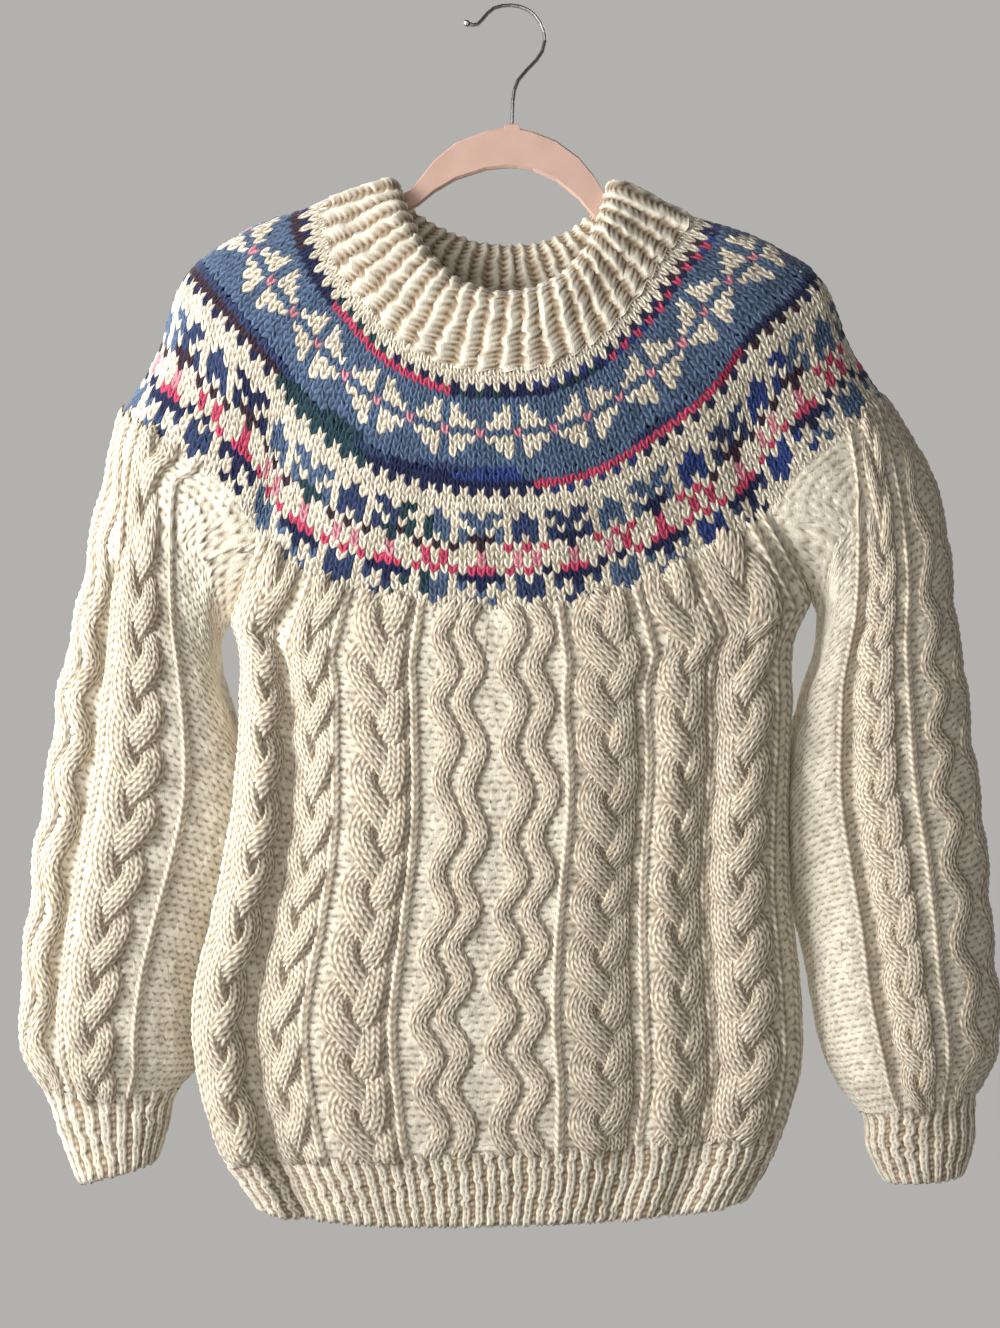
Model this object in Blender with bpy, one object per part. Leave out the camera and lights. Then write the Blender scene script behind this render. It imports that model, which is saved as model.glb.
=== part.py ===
"""Hand-knitted yoke jumper on a slim hanger, as solid sub-parts.

X runs to the viewer's right, Y goes back to the wall and Z is up. The origin is the
inside top of the hanger's hook. Sizes are in millimetres until mesh_object scales them.
"""
import bpy
import numpy as np

MM = 0.001
SEAM_GAP = 0.3          # left between two pieces that are knitted together
RIB_GAP = 0.45          # left above the hem and the cuffs
WALL = 4.0              # aran knit, from its plain inside to its ground
BAND_WALL = 9.0         # the neckband is folded double
CABLE_RISE = 3.6
CABLE_DIP = 1.4         # height of a cable between two strands
RIB_RISE = 2.2
WAVE_RISE = 2.4
EDGE_RISE = 1.6         # ribs of hem, cuffs and neckband
WAVE_SWING = 0.012      # how far a wavy rib swings, as a share of the panel's width
SLEEVE_SWING = 0.03
BAND_CROWN = 3.5        # height of the neckband's rolled top edge
WAVE_ROWS = 3           # mesh rows in one wave
BODY_ROWS = 20
BODY_WALL_ROWS = (0, 4, 8, 12, 16, 18, 19, 20)  # rows kept by the plain inside
SLEEVE_ROWS = 22
SLEEVE_WALL_ROWS = (0, 4, 8, 12, 16, 20, 22)
YOKE_ROWS = 6
HEM_RIBS = 35           # on the front, and the same on the back
CUFF_RIBS = 9
UNDERARM = 0.9          # share of the body's height where the armholes start
ARMHOLE_BOW = 4.0       # how far the armhole seams bow out of a straight line
HEM_END = -0.15         # the hem and cuffs carry on past the ends of body and sleeve
CUFF_END = 1.16
EDGE_END = 0.8          # share of a sleeve's half turn that meets the yoke
SLEEVE_ROUND = 0.8      # power of the sine that rounds a sleeve's half turn
SLEEVE_SETTLE = 0.35    # length share in which a sleeve's depth leaves the yoke's curve
FAST_FALL = 0.045       # the same for its width, at the armhole and at the outer fold
SLOW_FALL = 0.345
GROOVE_ENDS = (0.1, 0.12)       # length shares in which a groove starts and stops
DRAPE_FROM = 0.5        # height share from which the body widens with the yoke seam
SETTLE_FROM = 0.6       # height share from which its depth goes over to the seam's
ARMHOLE_BESIDE = 0.15   # width share of the body that follows the armhole instead
FLAT_FROM = 0.78        # height share from which its relief dies out at the armholes
FLAT_WIDTH = 0.12
SHOULDER_FROM = 0.35    # share of the yoke's half width where its shoulders start
BAND_MIDDLE = 0.45      # where the neckband's middle row of points lies
BAND_SWELL = 1.2

CREAM = (0.72, 0.66, 0.52)
COLOURWORK = (0.10, 0.15, 0.28)
PINK = (0.70, 0.40, 0.34)
STEEL = (0.75, 0.75, 0.77)
WOOL_ROUGHNESS = 0.9
STEEL_ROUGHNESS = 0.25

# Side folds of the body: height share (0 = top of the hem rib), x, y, z
LEFT_SIDE = (
    (-0.15, -185, -8, -879),
    (-0.07, -200, -10, -856),
    (0.0, -210, -12, -839),
    (0.115, -225, -18, -787),
    (0.235, -230, -22, -732),
    (0.405, -214, -22, -656),
    (0.57, -201, -20, -584),
    (0.74, -197, -13, -508),
    (0.85, -198, -10, -467),
    (0.9, -204, -6.5, -448),
)
RIGHT_SIDE = (
    (-0.15, 175, -4, -871),
    (-0.07, 194, -4, -838),
    (0.0, 200, -4, -819),
    (0.115, 212, -4, -772),
    (0.235, 211, -4, -720),
    (0.405, 203, -4, -647),
    (0.57, 202, -4, -582),
    (0.74, 205, -4, -508),
    (0.85, 208, -4, -457),
    (0.9, 220, -3, -433),
)
# Depth of the body in front of and behind its side folds: width share, depth.
# The front has a roll at its left side and a deep crease beside it.
FRONT_PROFILE = (
    (0.0, 0), (0.012, 7), (0.03, 13), (0.055, 17), (0.085, 9), (0.103, 4), (0.125, 9),
    (0.17, 16), (0.3, 20), (0.5, 22), (0.66, 22), (0.725, 18), (0.77, 22), (0.848, 16),
    (0.9, 23), (0.955, 19), (0.985, 11), (1.0, 0),
)
BACK_PROFILE = (
    (0.0, 0), (0.015, 7), (0.04, 14), (0.08, 25), (0.13, 38), (0.2, 45), (0.5, 41),
    (0.8, 35), (0.93, 30), (0.97, 21), (0.988, 12), (1.0, 0),
)
# Height share, swell of the front and back profiles, droop of the middle, and how much
# of the yoke seam's dip the rows already follow
BODY_DRAPE = (
    (-0.15, 0.7, 0.55, 12, 0.0),
    (-0.07, 0.8, 0.7, 7, 0.0),
    (0.0, 0.9, 0.85, 3, 0.0),
    (0.2, 1.0, 1.0, 0, 0.22),
    (0.45, 1.05, 1.0, 0, 0.42),
    (0.7, 1.15, 0.9, 0, 0.6),
    (0.9, 1.2, 0.8, 0, 0.75),
    (1.0, 1.2, 0.7, 0, 1.0),
)

# Yoke seam over the front and the back, left corner to right corner: x, y, z
FRONT_SEAM = (
    (-181.6, -30, -394.5), (-161.8, -34, -413.4), (-143.7, -36, -423.5),
    (-115.0, -38, -432.8), (-65.0, -40, -442.1), (-8.1, -41, -445.0),
    (34.6, -41, -442.9), (63.1, -40, -439.3), (91.6, -39, -430.7),
    (127.5, -37, -413.5), (159.8, -35, -397.7), (186.9, -31, -375.9),
)
BACK_SEAM = (
    (-188.9, 24, -389.4), (-168.9, 26, -405.7), (-150.3, 27, -415.4),
    (-120.5, 28, -424.3), (-68.0, 28, -432.5), (-8.1, 28, -434.8),
    (36.9, 28, -432.5), (66.9, 28, -428.8), (96.8, 28, -420.6),
    (134.2, 27, -405.6), (167.8, 26, -390.7), (195.2, 24, -369.9),
)
# Yoke seam over each sleeve, from the outer fold to the body's corner: x, y, z
LEFT_ARC_FRONT = (
    (-286.9, 0, -303.7), (-282.1, -9, -307.1), (-273.0, -18, -312.6),
    (-256.3, -26, -322.3), (-233.8, -31, -337.2), (-212.0, -33, -351.8),
    (-190.7, -32, -373.1), (-181.6, -30, -394.5),
)
LEFT_ARC_BACK = (
    (-286.9, 0, -303.7), (-285.0, 8, -305.0), (-279.7, 15, -308.3),
    (-265.3, 21, -316.5), (-243.6, 25, -331.0), (-221.3, 26, -345.8),
    (-198.7, 25, -368.4), (-188.9, 24, -389.4),
)
RIGHT_ARC_FRONT = (
    (275.9, 0, -291.9), (271.8, -9, -295.4), (264.8, -18, -301.0),
    (250.9, -26, -313.6), (228.4, -31, -326.5), (206.6, -33, -344.6),
    (196.0, -32, -358.8), (186.9, -31, -375.9),
)
RIGHT_ARC_BACK = (
    (275.9, 0, -291.9), (275.2, 8, -293.0), (271.7, 15, -296.5),
    (260.3, 21, -307.6), (238.7, 25, -319.8), (216.4, 26, -338.3),
    (205.0, 25, -353.4), (195.2, 24, -369.9),
)
# Foot of the neckband and middle of its folded top, left shoulder to right: x, y, z
NECK_FRONT = (
    (-141.6, 0, -144.4), (-141.8, -9, -148.6), (-141.8, -13, -157.4),
    (-137.5, -22, -179.2), (-127.9, -30, -204.9), (-110.2, -36, -225.7),
    (-89.9, -41, -250.2), (-64.8, -45, -267.9), (-36.4, -47, -278.1),
    (-2.4, -48, -279.7), (30.9, -47, -274.6), (59.4, -43, -258.3),
    (81.0, -38, -238.2), (99.3, -32, -215.6), (114.4, -25, -190.9),
    (128.5, -16, -173.5), (134.5, -11, -160.5), (136.5, 0, -154.7),
)
NECK_BACK = (
    (-141.6, 0, -144.4), (-140.5, 9, -148.6), (-136.0, 13, -157.4),
    (-112.0, 16, -179.2), (-86.2, 18, -199.4), (-49.0, 20, -217.6),
    (-2.1, 20, -224.3), (47.8, 20, -216.8), (84.9, 18, -199.4),
    (110.7, 16, -181.5), (129.0, 13, -168.0), (135.0, 9, -159.0), (136.5, 0, -154.7),
)
BAND_TOP_FRONT = (
    (-85.9, 0, -132.0), (-84.9, -6, -134.4), (-83.1, -8.5, -140.9), (-78.3, -16, -155.3),
    (-71.5, -23, -172.2), (-60.4, -29, -189.4), (-43.8, -33, -206.9),
    (-23.8, -35, -217.3), (-2.4, -36, -220.4), (20.5, -35, -215.9),
    (39.1, -32, -205.3), (53.7, -27, -188.4), (63.4, -20, -168.8),
    (69.7, -12, -150.6), (72.5, -8, -141.0), (73.6, -5.5, -135.0), (74.1, 0, -132.7),
)
BAND_TOP_BACK = (
    (-85.9, 0, -132.0), (-84.5, 6, -134.4), (-81.5, 8.5, -140.9), (-73.8, 11, -150.0),
    (-58.4, 13, -160.5), (-34.0, 14, -171.3), (-2.1, 14, -175.7),
    (27.5, 14, -172.0), (49.7, 13, -162.1), (64.3, 11, -150.0),
    (71.0, 8, -141.0), (73.4, 5.5, -135.0), (74.1, 0, -132.7),
)
# Share of the way from yoke seam to neckband, how far the shoulders round out
SHOULDER_ROUND = ((0.0, 0.0), (0.25, 0.35), (0.5, 1.0), (0.75, 0.74), (1.0, 0.0))
LEFT_ROUND = (-25.0, 0.0, 25.0)
RIGHT_ROUND = (22.0, 0.0, 22.0)
CHEST_ROUND = (0.0, -7.0, 0.0)
BLADE_ROUND = (0.0, 5.0, 0.0)

# Folds of each sleeve: length share (0 = yoke, 1 = cuff), x, y, z
LEFT_SLEEVE_OUTER = (
    (0.0, -286.9, 0, -303.7), (0.1, -299, 0, -352), (0.2, -309, 0, -401),
    (0.3, -318, 0, -450), (0.4, -329, 0, -499), (0.5, -335, 0, -547),
    (0.6, -343, 0, -596), (0.7, -349, 0, -645), (0.8, -354, 0, -693),
    (0.9, -357, 0, -742), (0.96, -353, 0, -772), (1.0, -342, 0, -791),
    (1.08, -329, 0, -826), (1.16, -316, 0, -861),
)
LEFT_SLEEVE_INNER = (
    (0.0, -204, -6.5, -448), (0.05, -213, -4, -464), (0.1, -215, 0, -483), (0.2, -214, 4, -517),
    (0.3, -210, 8, -551), (0.4, -203, 11, -586), (0.5, -204, 12, -620),
    (0.6, -214, 12, -655), (0.7, -223, 12, -690), (0.8, -229, 12, -724),
    (0.9, -230, 11, -759), (0.96, -233, 8, -779), (1.0, -245, 3, -793),
    (1.08, -253, 2, -821), (1.16, -260, 1, -845),
)
RIGHT_SLEEVE_OUTER = (
    (0.0, 275.9, 0, -291.9), (0.1, 306, 0, -342), (0.2, 318, 0, -392),
    (0.3, 322, 0, -442), (0.4, 330, 0, -492), (0.5, 335, 0, -541),
    (0.6, 342, 0, -591), (0.7, 346, 0, -641), (0.8, 350, 0, -691),
    (0.9, 355, 0, -743), (0.96, 350, 0, -771), (1.0, 340, 0, -791),
    (1.08, 339, 0, -824), (1.16, 331, 0, -855),
)
RIGHT_SLEEVE_INNER = (
    (0.0, 220, -3, -433), (0.05, 227, -2, -451), (0.1, 227, 0, -470), (0.2, 222, 2, -508),
    (0.3, 214, 4, -546), (0.4, 209, 5, -584), (0.5, 208, 6, -621),
    (0.6, 214, 6, -660), (0.7, 219, 6, -697), (0.8, 223, 5, -735),
    (0.9, 233, 4, -773), (0.96, 244, 3, -794), (1.0, 258, 2, -810),
    (1.08, 262, 1, -836), (1.16, 274, 1, -860),
)
# Length share, depth of a sleeve in front of and behind its folds
SLEEVE_DEPTH = (
    (0.0, 30, 26), (0.2, 35, 24), (0.5, 38, 20), (0.8, 38, 19), (0.94, 34, 19),
    (1.0, 24, 18), (1.08, 19, 16), (1.16, 17, 14),
)
# One long groove down the front of each sleeve: half-turn share, depth, half width
LEFT_GROOVE = (0.31, 9.0, 0.05)
RIGHT_GROOVE = (0.60, 8.0, 0.05)

# Knitted columns across each piece: kind, centre and width as shares
FRONT_KNIT = (
    ("rib", 0.012, 0.018), ("cable", 0.054, 0.061), ("rib", 0.112, 0.018),
    ("cable", 0.150, 0.051), ("rib", 0.186, 0.018), ("cable", 0.255, 0.105),
    ("rib", 0.327, 0.022), ("wave", 0.385, 0.025), ("wave", 0.429, 0.025),
    ("plain", 0.467, 0.0), ("mirror wave", 0.506, 0.025), ("mirror wave", 0.553, 0.025),
    ("rib", 0.595, 0.022), ("cable", 0.665, 0.094), ("rib", 0.738, 0.022),
    ("cable", 0.796, 0.076), ("rib", 0.848, 0.018), ("cable", 0.906, 0.090),
    ("rib", 0.966, 0.018), ("rib", 0.988, 0.014),
)
FRONT_TIGHT = (0.125, 0.98)     # width shares outside which the wall bends tightly
BACK_TIGHT = (0.02, 0.98)
BACK_KNIT = (
    ("rib", 0.014, 0.018), ("cable", 0.078, 0.090), ("rib", 0.142, 0.020),
    ("cable", 0.208, 0.090), ("rib", 0.274, 0.020), ("cable", 0.336, 0.090),
    ("rib", 0.398, 0.020), ("wave", 0.438, 0.022), ("plain", 0.5, 0.0),
    ("mirror wave", 0.562, 0.022), ("rib", 0.602, 0.020), ("cable", 0.664, 0.090),
    ("rib", 0.726, 0.020), ("cable", 0.792, 0.090), ("rib", 0.858, 0.020),
    ("cable", 0.922, 0.090), ("rib", 0.986, 0.018),
)
# The same over half a turn of a sleeve, counted from its outer fold
LEFT_SLEEVE_KNIT = (
    ("wave", 0.13, 0.07), ("wave", 0.25, 0.07), ("rib", 0.345, 0.05),
    ("cable", 0.485, 0.19), ("rib", 0.62, 0.05), ("plain", 0.70, 0.0),
    ("plain", 0.75, 0.0),
)
RIGHT_SLEEVE_KNIT = (
    ("wave", 0.10, 0.06), ("plain", 0.20, 0.0), ("mirror wave", 0.29, 0.06),
    ("rib", 0.40, 0.05), ("cable", 0.53, 0.16), ("rib", 0.65, 0.05),
    ("plain", 0.73, 0.0),
)

# Velvet hanger, a flat plate: x, z of its top edge, z of its bottom edge
HANGER_SECTIONS = (
    (-214, -190, -198), (-211, -187, -203), (-204, -183, -203), (-192, -176, -196),
    (-183, -171, -191), (-155, -162, -181), (-142, -158, -177), (-118, -150.5, -169),
    (-96, -143.5, -161), (-84, -139.0, -153.5), (-74, -134.8, -148.5),
    (-68, -127.6, -146), (-56.5, -112.9, -136.4), (-40.4, -99.7, -126.8),
    (-17.6, -90.9, -119.5), (-5.0, -89.0, -118.2), (-4.0, -85.7, -118.1),
    (5.6, -85.7, -118.5), (6.6, -89.5, -118.8), (16.1, -91.6, -120.2),
    (33.0, -98.2, -127.6), (49.9, -110.7, -141.5), (60.9, -124.0, -155.0),
    (67.5, -135.4, -158.0), (75.0, -141.8, -161.0), (95.0, -149.0, -167.0),
    (124.0, -163.0, -181.0), (136.5, -168.0, -187.0), (164.4, -179.0, -198.0),
    (179.1, -185.0, -204.0), (197.4, -193.0, -212.0), (206.0, -198.0, -216.0),
    (213.0, -205.0, -215.0), (215.0, -208.0, -212.0),
)
HANGER_THICK = 6.0
HANGER_ROUND = 1.6
# Wire hook, along its middle: x, z, radius
HOOK_PATH = (
    (-34.6, -11.2, 0.5), (-34.1, -11.3, 1.7), (-32.9, -11.6, 2.5), (-31.2, -12.1, 2.5),
    (-29.9, -12.5, 1.6), (-27.5, -13.1, 1.45), (-24.3, -12.4, 1.45),
    (-21.5, -9.6, 1.45), (-17.0, -4.4, 1.45), (-12.5, -0.7, 1.45), (-6.5, 1.0, 1.45),
    (0.0, 1.45, 1.45), (6.6, 0.4, 1.45), (12.5, -1.9, 1.45), (17.4, -5.6, 1.45),
    (21.6, -11.6, 1.45), (24.4, -18.6, 1.45), (24.9, -24.6, 1.45),
    (23.0, -32.4, 1.45), (18.6, -39.0, 1.45), (11.4, -46.4, 1.45),
    (5.4, -53.5, 1.45), (2.6, -60.5, 1.45), (1.4, -69.0, 1.45), (0.9, -85.4, 1.45),
)


def spline(table, at):
    """Smooth curve through a table whose first column is the knot."""
    table = np.asarray(table, float)
    knots, values = table[:, 0], table[:, 1:]
    slopes = np.gradient(values, knots, axis=0)
    at = np.clip(np.asarray(at, float), knots[0], knots[-1])
    low = np.clip(np.searchsorted(knots, at, side="right") - 1, 0, len(knots) - 2)
    step = (knots[low + 1] - knots[low])[..., None]
    t = (at - knots[low])[..., None] / step
    return (
        values[low] * (2 * t**3 - 3 * t**2 + 1)
        + slopes[low] * step * (t**3 - 2 * t**2 + t)
        + values[low + 1] * (3 * t**2 - 2 * t**3)
        + slopes[low + 1] * step * (t**3 - t**2)
    )


def along(points, share):
    """Point at a share of the length of a curve through a table of points."""
    points = np.asarray(points, float)
    reach = np.concatenate(([0.0], np.cumsum(np.linalg.norm(np.diff(points, axis=0), axis=1))))
    return spline(np.column_stack((reach / reach[-1], points)), share)


def mix(start, end, share):
    return start + (end - start) * np.asarray(share, float)[..., None]


def ease(share):
    share = np.clip(share, 0.0, 1.0)
    return share * share * (3.0 - 2.0 * share)


def unit(vectors):
    return vectors / np.maximum(np.linalg.norm(vectors, axis=-1, keepdims=True), 1e-9)


def armhole_climb(rise):
    return np.clip((rise - UNDERARM) / (1.0 - UNDERARM), 0.0, 1.0)


def armhole(underarm, corner, climb, facing):
    """Seam between body and sleeve, from the underarm to a corner of the yoke."""
    line = mix(np.asarray(underarm, float), np.asarray(corner, float), climb)
    line[..., 1] += facing * ARMHOLE_BOW * 4.0 * climb * (1.0 - climb)
    return line


def side_line(table, corner, rise):
    """Side fold of the body up to the underarm, then straight to a yoke corner."""
    fold = spline(table, np.minimum(rise, UNDERARM))
    line = mix(fold, np.asarray(corner, float), armhole_climb(rise))
    line[..., 1] = fold[..., 1]
    return line


def body_surface(across, rise, seam, profile, facing):
    """Ground of the front (facing -1) or back (facing 1) of the body."""
    left = side_line(LEFT_SIDE, seam[0], rise)
    right = side_line(RIGHT_SIDE, seam[-1], rise)
    chord = mix(left, right, across)
    drape = spline(BODY_DRAPE, rise)
    depth = spline(profile, across)[..., 0] * drape[..., 0 if facing < 0 else 1]
    moved = ease((rise - DRAPE_FROM) / (1.0 - DRAPE_FROM))
    settled = ease((rise - SETTLE_FROM) / (1.0 - SETTLE_FROM))
    climb = armhole_climb(rise)
    inner = ease(np.minimum(across, 1.0 - across) / ARMHOLE_BESIDE)
    taken = climb + (settled - climb) * inner
    bow = ARMHOLE_BOW * 4.0 * climb * (1.0 - climb) * (1.0 - inner)
    corners = mix(np.asarray(seam[0], float), np.asarray(seam[-1], float), across)
    at_seam = along(seam, across)
    dip = at_seam - corners
    droop = drape[..., 2] * (1.0 - np.abs(2.0 * across - 1.0) ** 3)
    level = chord[..., 1] + facing * depth
    return np.stack((
        chord[..., 0] + dip[..., 0] * moved,
        level + (at_seam[..., 1] - level) * taken + facing * bow,
        chord[..., 2] + dip[..., 2] * drape[..., 3] - droop,
    ), axis=-1)


def sleeve_surface(turn, length, outer, inner, arc, facing, groove=None):
    """Ground of the front or back half of a sleeve; turn 0 is its outer fold."""
    far, near = spline(outer, length), spline(inner, length)
    reach = (1.0 - np.cos(np.pi * turn)) / 2.0
    chord = mix(far, near, reach)
    depths = spline(SLEEVE_DEPTH, length)[..., 0 if facing < 0 else 1]
    depth = depths * np.sin(np.pi * turn) ** SLEEVE_ROUND
    if groove:
        place, deep, half = groove
        reach_down = ease(length / GROOVE_ENDS[0]) * ease((1.0 - length) / GROOVE_ENDS[1])
        depth = depth - deep * reach_down * np.exp(-(((turn - place) / half) ** 2))
    on_arc = along(arc, np.minimum(turn / EDGE_END, 1.0))
    climb = np.clip((1.0 - turn) / (1.0 - EDGE_END), 0.0, 1.0)
    on_armhole = armhole(inner[0][1:], arc[-1], climb, facing)
    top = np.where((turn <= EDGE_END)[..., None], on_arc, on_armhole)
    dip = top - mix(spline(outer, 0.0), spline(inner, 0.0), reach)
    quick = 1.0 - ease(length / SLEEVE_SETTLE)
    slow = np.clip(1.0 - length, 0.0, 1.0)
    fade = SLOW_FALL + (FAST_FALL - SLOW_FALL) * ease(turn / EDGE_END)
    shift = np.stack((
        dip[..., 0] * (1.0 - ease(length / fade)),
        dip[..., 1] * quick + facing * depth * (1.0 - quick),
        dip[..., 2] * slow,
    ), axis=-1)
    return chord + shift


def knit_columns(knit, limit, least):
    """Mesh columns for a knit layout: share, kind and place within its feature."""
    places = {"cable": (-1.0, -0.66, 0.0, 0.66, 1.0), "plain": (0.0,)}
    wanted = [
        (centre + place * width / 2.0, kind, place)
        for kind, centre, width in knit
        for place in places.get(kind, (-1.0, 0.0, 1.0))
    ]
    columns = [(0.0, "plain", 0.0)]
    for column in wanted:
        if column[0] - columns[-1][0] >= least:
            columns.append(column)
        elif len(columns) > 1:
            columns[-1] = ((column[0] + columns[-1][0]) / 2.0, "foot", 1.0)
    if limit - columns[-1][0] < least:
        columns.pop()
    columns.append((limit, "plain", 0.0))
    return columns


def knit_grid(columns, rows, wave_swing):
    """Share, relief and triangle slant of every column for each mesh row."""
    shares = np.array([column[0] for column in columns])
    grid = np.tile(shares, (rows + 1, 1))
    relief = np.zeros_like(grid)
    slant = np.ones(len(columns), int)
    beat = np.arange(rows + 1)
    swing = wave_swing * np.sin(2.0 * np.pi * beat / WAVE_ROWS)
    swing[[0, -1]] = 0.0
    for index, (share, kind, place) in enumerate(columns):
        if kind == "cable" and abs(place) < 1.0:
            high = (beat % 2 == 0) if place == 0.0 else (beat % 2 == 1)
            relief[:, index] = np.where(high, CABLE_RISE, CABLE_DIP)
        if kind == "cable" and place < 0.0:
            slant[index] = -1
        if kind == "rib" and place == 0.0:
            relief[:, index] = RIB_RISE
        if kind.endswith("wave"):
            grid[:, index] += swing if kind == "wave" else -swing
            relief[:, index] = WAVE_RISE if place == 0.0 else 0.0
    relief[[0, -1]] = 0.0
    return grid, relief, slant


def turned(slant):
    """Triangle slants for the same columns in the opposite order."""
    return -np.roll(slant[::-1], -1)


def wall_columns(shares, low, high):
    """Columns kept by the plain inside: every other one, and all beyond low and high."""
    last = len(shares) - 1
    return [
        index for index, share in enumerate(shares)
        if index % 2 == 0 or index == last or not low < share < high
    ]


def between_kept(points, kept, closed):
    """The kept points before and after every point, and its share of that way."""
    count = len(points)
    stops = list(kept) + ([count] if closed else [])
    before, after = np.zeros(count, int), np.zeros(count, int)
    share = np.zeros(count)
    for start, end in zip(stops[:-1], stops[1:]):
        for index in range(start, min(end + 1, count)):
            from_start = np.linalg.norm(points[index] - points[start])
            to_end = np.linalg.norm(points[index] - points[end % count])
            before[index], after[index] = start, end % count
            share[index] = from_start / (from_start + to_end)
    return before, after, share


def straighten(values, places):
    """Put values between kept ones on the straight lines that join them."""
    before, after, share = places
    return mix(values[before], values[after], share)


def spread(values, kept, count, closed):
    """Fill in values for all columns or rows from those of the kept ones."""
    stops = list(kept) + ([count] if closed else [])
    source = np.concatenate((values, values[:1])) if closed else values
    wanted = np.arange(count)
    low = np.clip(np.searchsorted(stops, wanted, side="right") - 1, 0, len(stops) - 2)
    stops = np.array(stops)
    share = (wanted - stops[low]) / (stops[low + 1] - stops[low])
    return mix(source[low], source[low + 1], share.reshape((-1,) + (1,) * (values.ndim - 2)))


class Cloth:
    """One knitted piece: a ground grid, rows upwards, columns left to right in front."""

    def __init__(self, name, ground, relief, slant, rows_in, cols_in, closed):
        self.name = name
        self.ground = ground
        self.relief = relief
        self.slant = slant
        self.rows_in = list(rows_in)
        self.cols_in = list(cols_in)
        self.closed = closed
        self.straighten_edges(ground)

    def straighten_edges(self, values):
        """Edges run straight between the points that a neighbour shares."""
        for row in (0, -1):
            places = between_kept(self.ground[row], self.cols_in, self.closed)
            values[row] = straighten(values[row], places)
        for column in () if self.closed else (0, -1):
            places = between_kept(self.ground[:, column], self.rows_in, False)
            values[:, column] = straighten(values[:, column], places)

    def coarse(self):
        return self.ground[self.rows_in][:, self.cols_in]

    def fill(self, values):
        """Values for every ground point from those of the coarse ones."""
        by_row = spread(values, self.rows_in, len(self.ground), False)
        flipped = np.swapaxes(by_row, 0, 1)
        full = spread(flipped, self.cols_in, self.ground.shape[1], self.closed)
        full = np.swapaxes(full, 0, 1).copy()
        self.straighten_edges(full)
        return full


def sums_by(owner, values):
    totals = np.zeros((owner.max() + 1, values.shape[1]))
    np.add.at(totals, owner, values)
    return totals


def share_seams(pieces):
    """Normals that agree on both sides of a seam, and the way back from the seam.

    A point moves half the seam gap from the middle of all the faces round it towards
    the middle of those in its own piece.
    """
    points, faces, start = [], [], 0
    for piece in pieces:
        coarse = piece.coarse()
        high, wide = coarse.shape[:2]
        index = start + np.arange(high * wide).reshape(high, wide)
        if piece.closed:
            index = np.concatenate((index, index[:, :1]), axis=1)
        a, b = index[:-1, :-1].ravel(), index[:-1, 1:].ravel()
        c, d = index[1:, 1:].ravel(), index[1:, :-1].ravel()
        faces.append(np.concatenate((np.stack((a, b, c), 1), np.stack((a, c, d), 1))))
        points.append(coarse.reshape(-1, 3))
        start += high * wide
    points, faces = np.concatenate(points), np.concatenate(faces)
    _, owner = np.unique(np.round(points, 2), axis=0, return_inverse=True)
    owner = owner.reshape(-1)
    a, b, c = points[faces[:, 0]], points[faces[:, 1]], points[faces[:, 2]]
    area = np.cross(b - a, c - a)
    weight = np.linalg.norm(area, axis=1, keepdims=True)
    moment = (a + b + c) / 3.0 * weight
    corners = faces.T.reshape(-1)
    area, weight, moment = (np.tile(v, (3, 1)) for v in (area, weight, moment))
    normals = unit(sums_by(owner[corners], area))[owner]
    middle = sums_by(owner[corners], moment) / sums_by(owner[corners], weight)
    own = sums_by(corners, moment) / sums_by(corners, weight)
    away = own - middle[owner]
    at_seam = np.linalg.norm(away, axis=1, keepdims=True) > SEAM_GAP
    shift = np.where(at_seam, unit(away), 0.0) * SEAM_GAP / 2.0
    start = 0
    for piece in pieces:
        shape = piece.coarse().shape
        count = shape[0] * shape[1]
        piece.normals = piece.fill(normals[start:start + count].reshape(shape))
        piece.shift = piece.fill(shift[start:start + count].reshape(shape))
        start += count


def grid_faces(index, slant=None, flip=False):
    faces = []
    for row in range(index.shape[0] - 1):
        for column in range(index.shape[1] - 1):
            a, b = index[row, column], index[row, column + 1]
            c, d = index[row + 1, column + 1], index[row + 1, column]
            if slant is not None and slant[column] < 0:
                pair = [(a, b, d), (b, c, d)]
            else:
                pair = [(a, b, c), (a, c, d)]
            faces += [tri[::-1] for tri in pair] if flip else pair
    return faces


def rim_faces(outside, inside, kept, line, upward):
    """Triangles that close an edge; they fan from each length's lower end."""
    faces = []
    for place in range(len(kept) - 1):
        start, end = kept[place], kept[place + 1]
        near, far = inside[place], inside[place + 1]
        low_first = line[start][2] < line[end % len(line)][2]
        apex, corner = (near, outside[end]) if low_first else (far, outside[start])
        fan = [(outside[k], outside[k + 1], apex) for k in range(start, end)]
        fan.append((far, near, corner))
        faces += fan if upward else [tri[::-1] for tri in fan]
    return faces


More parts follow.
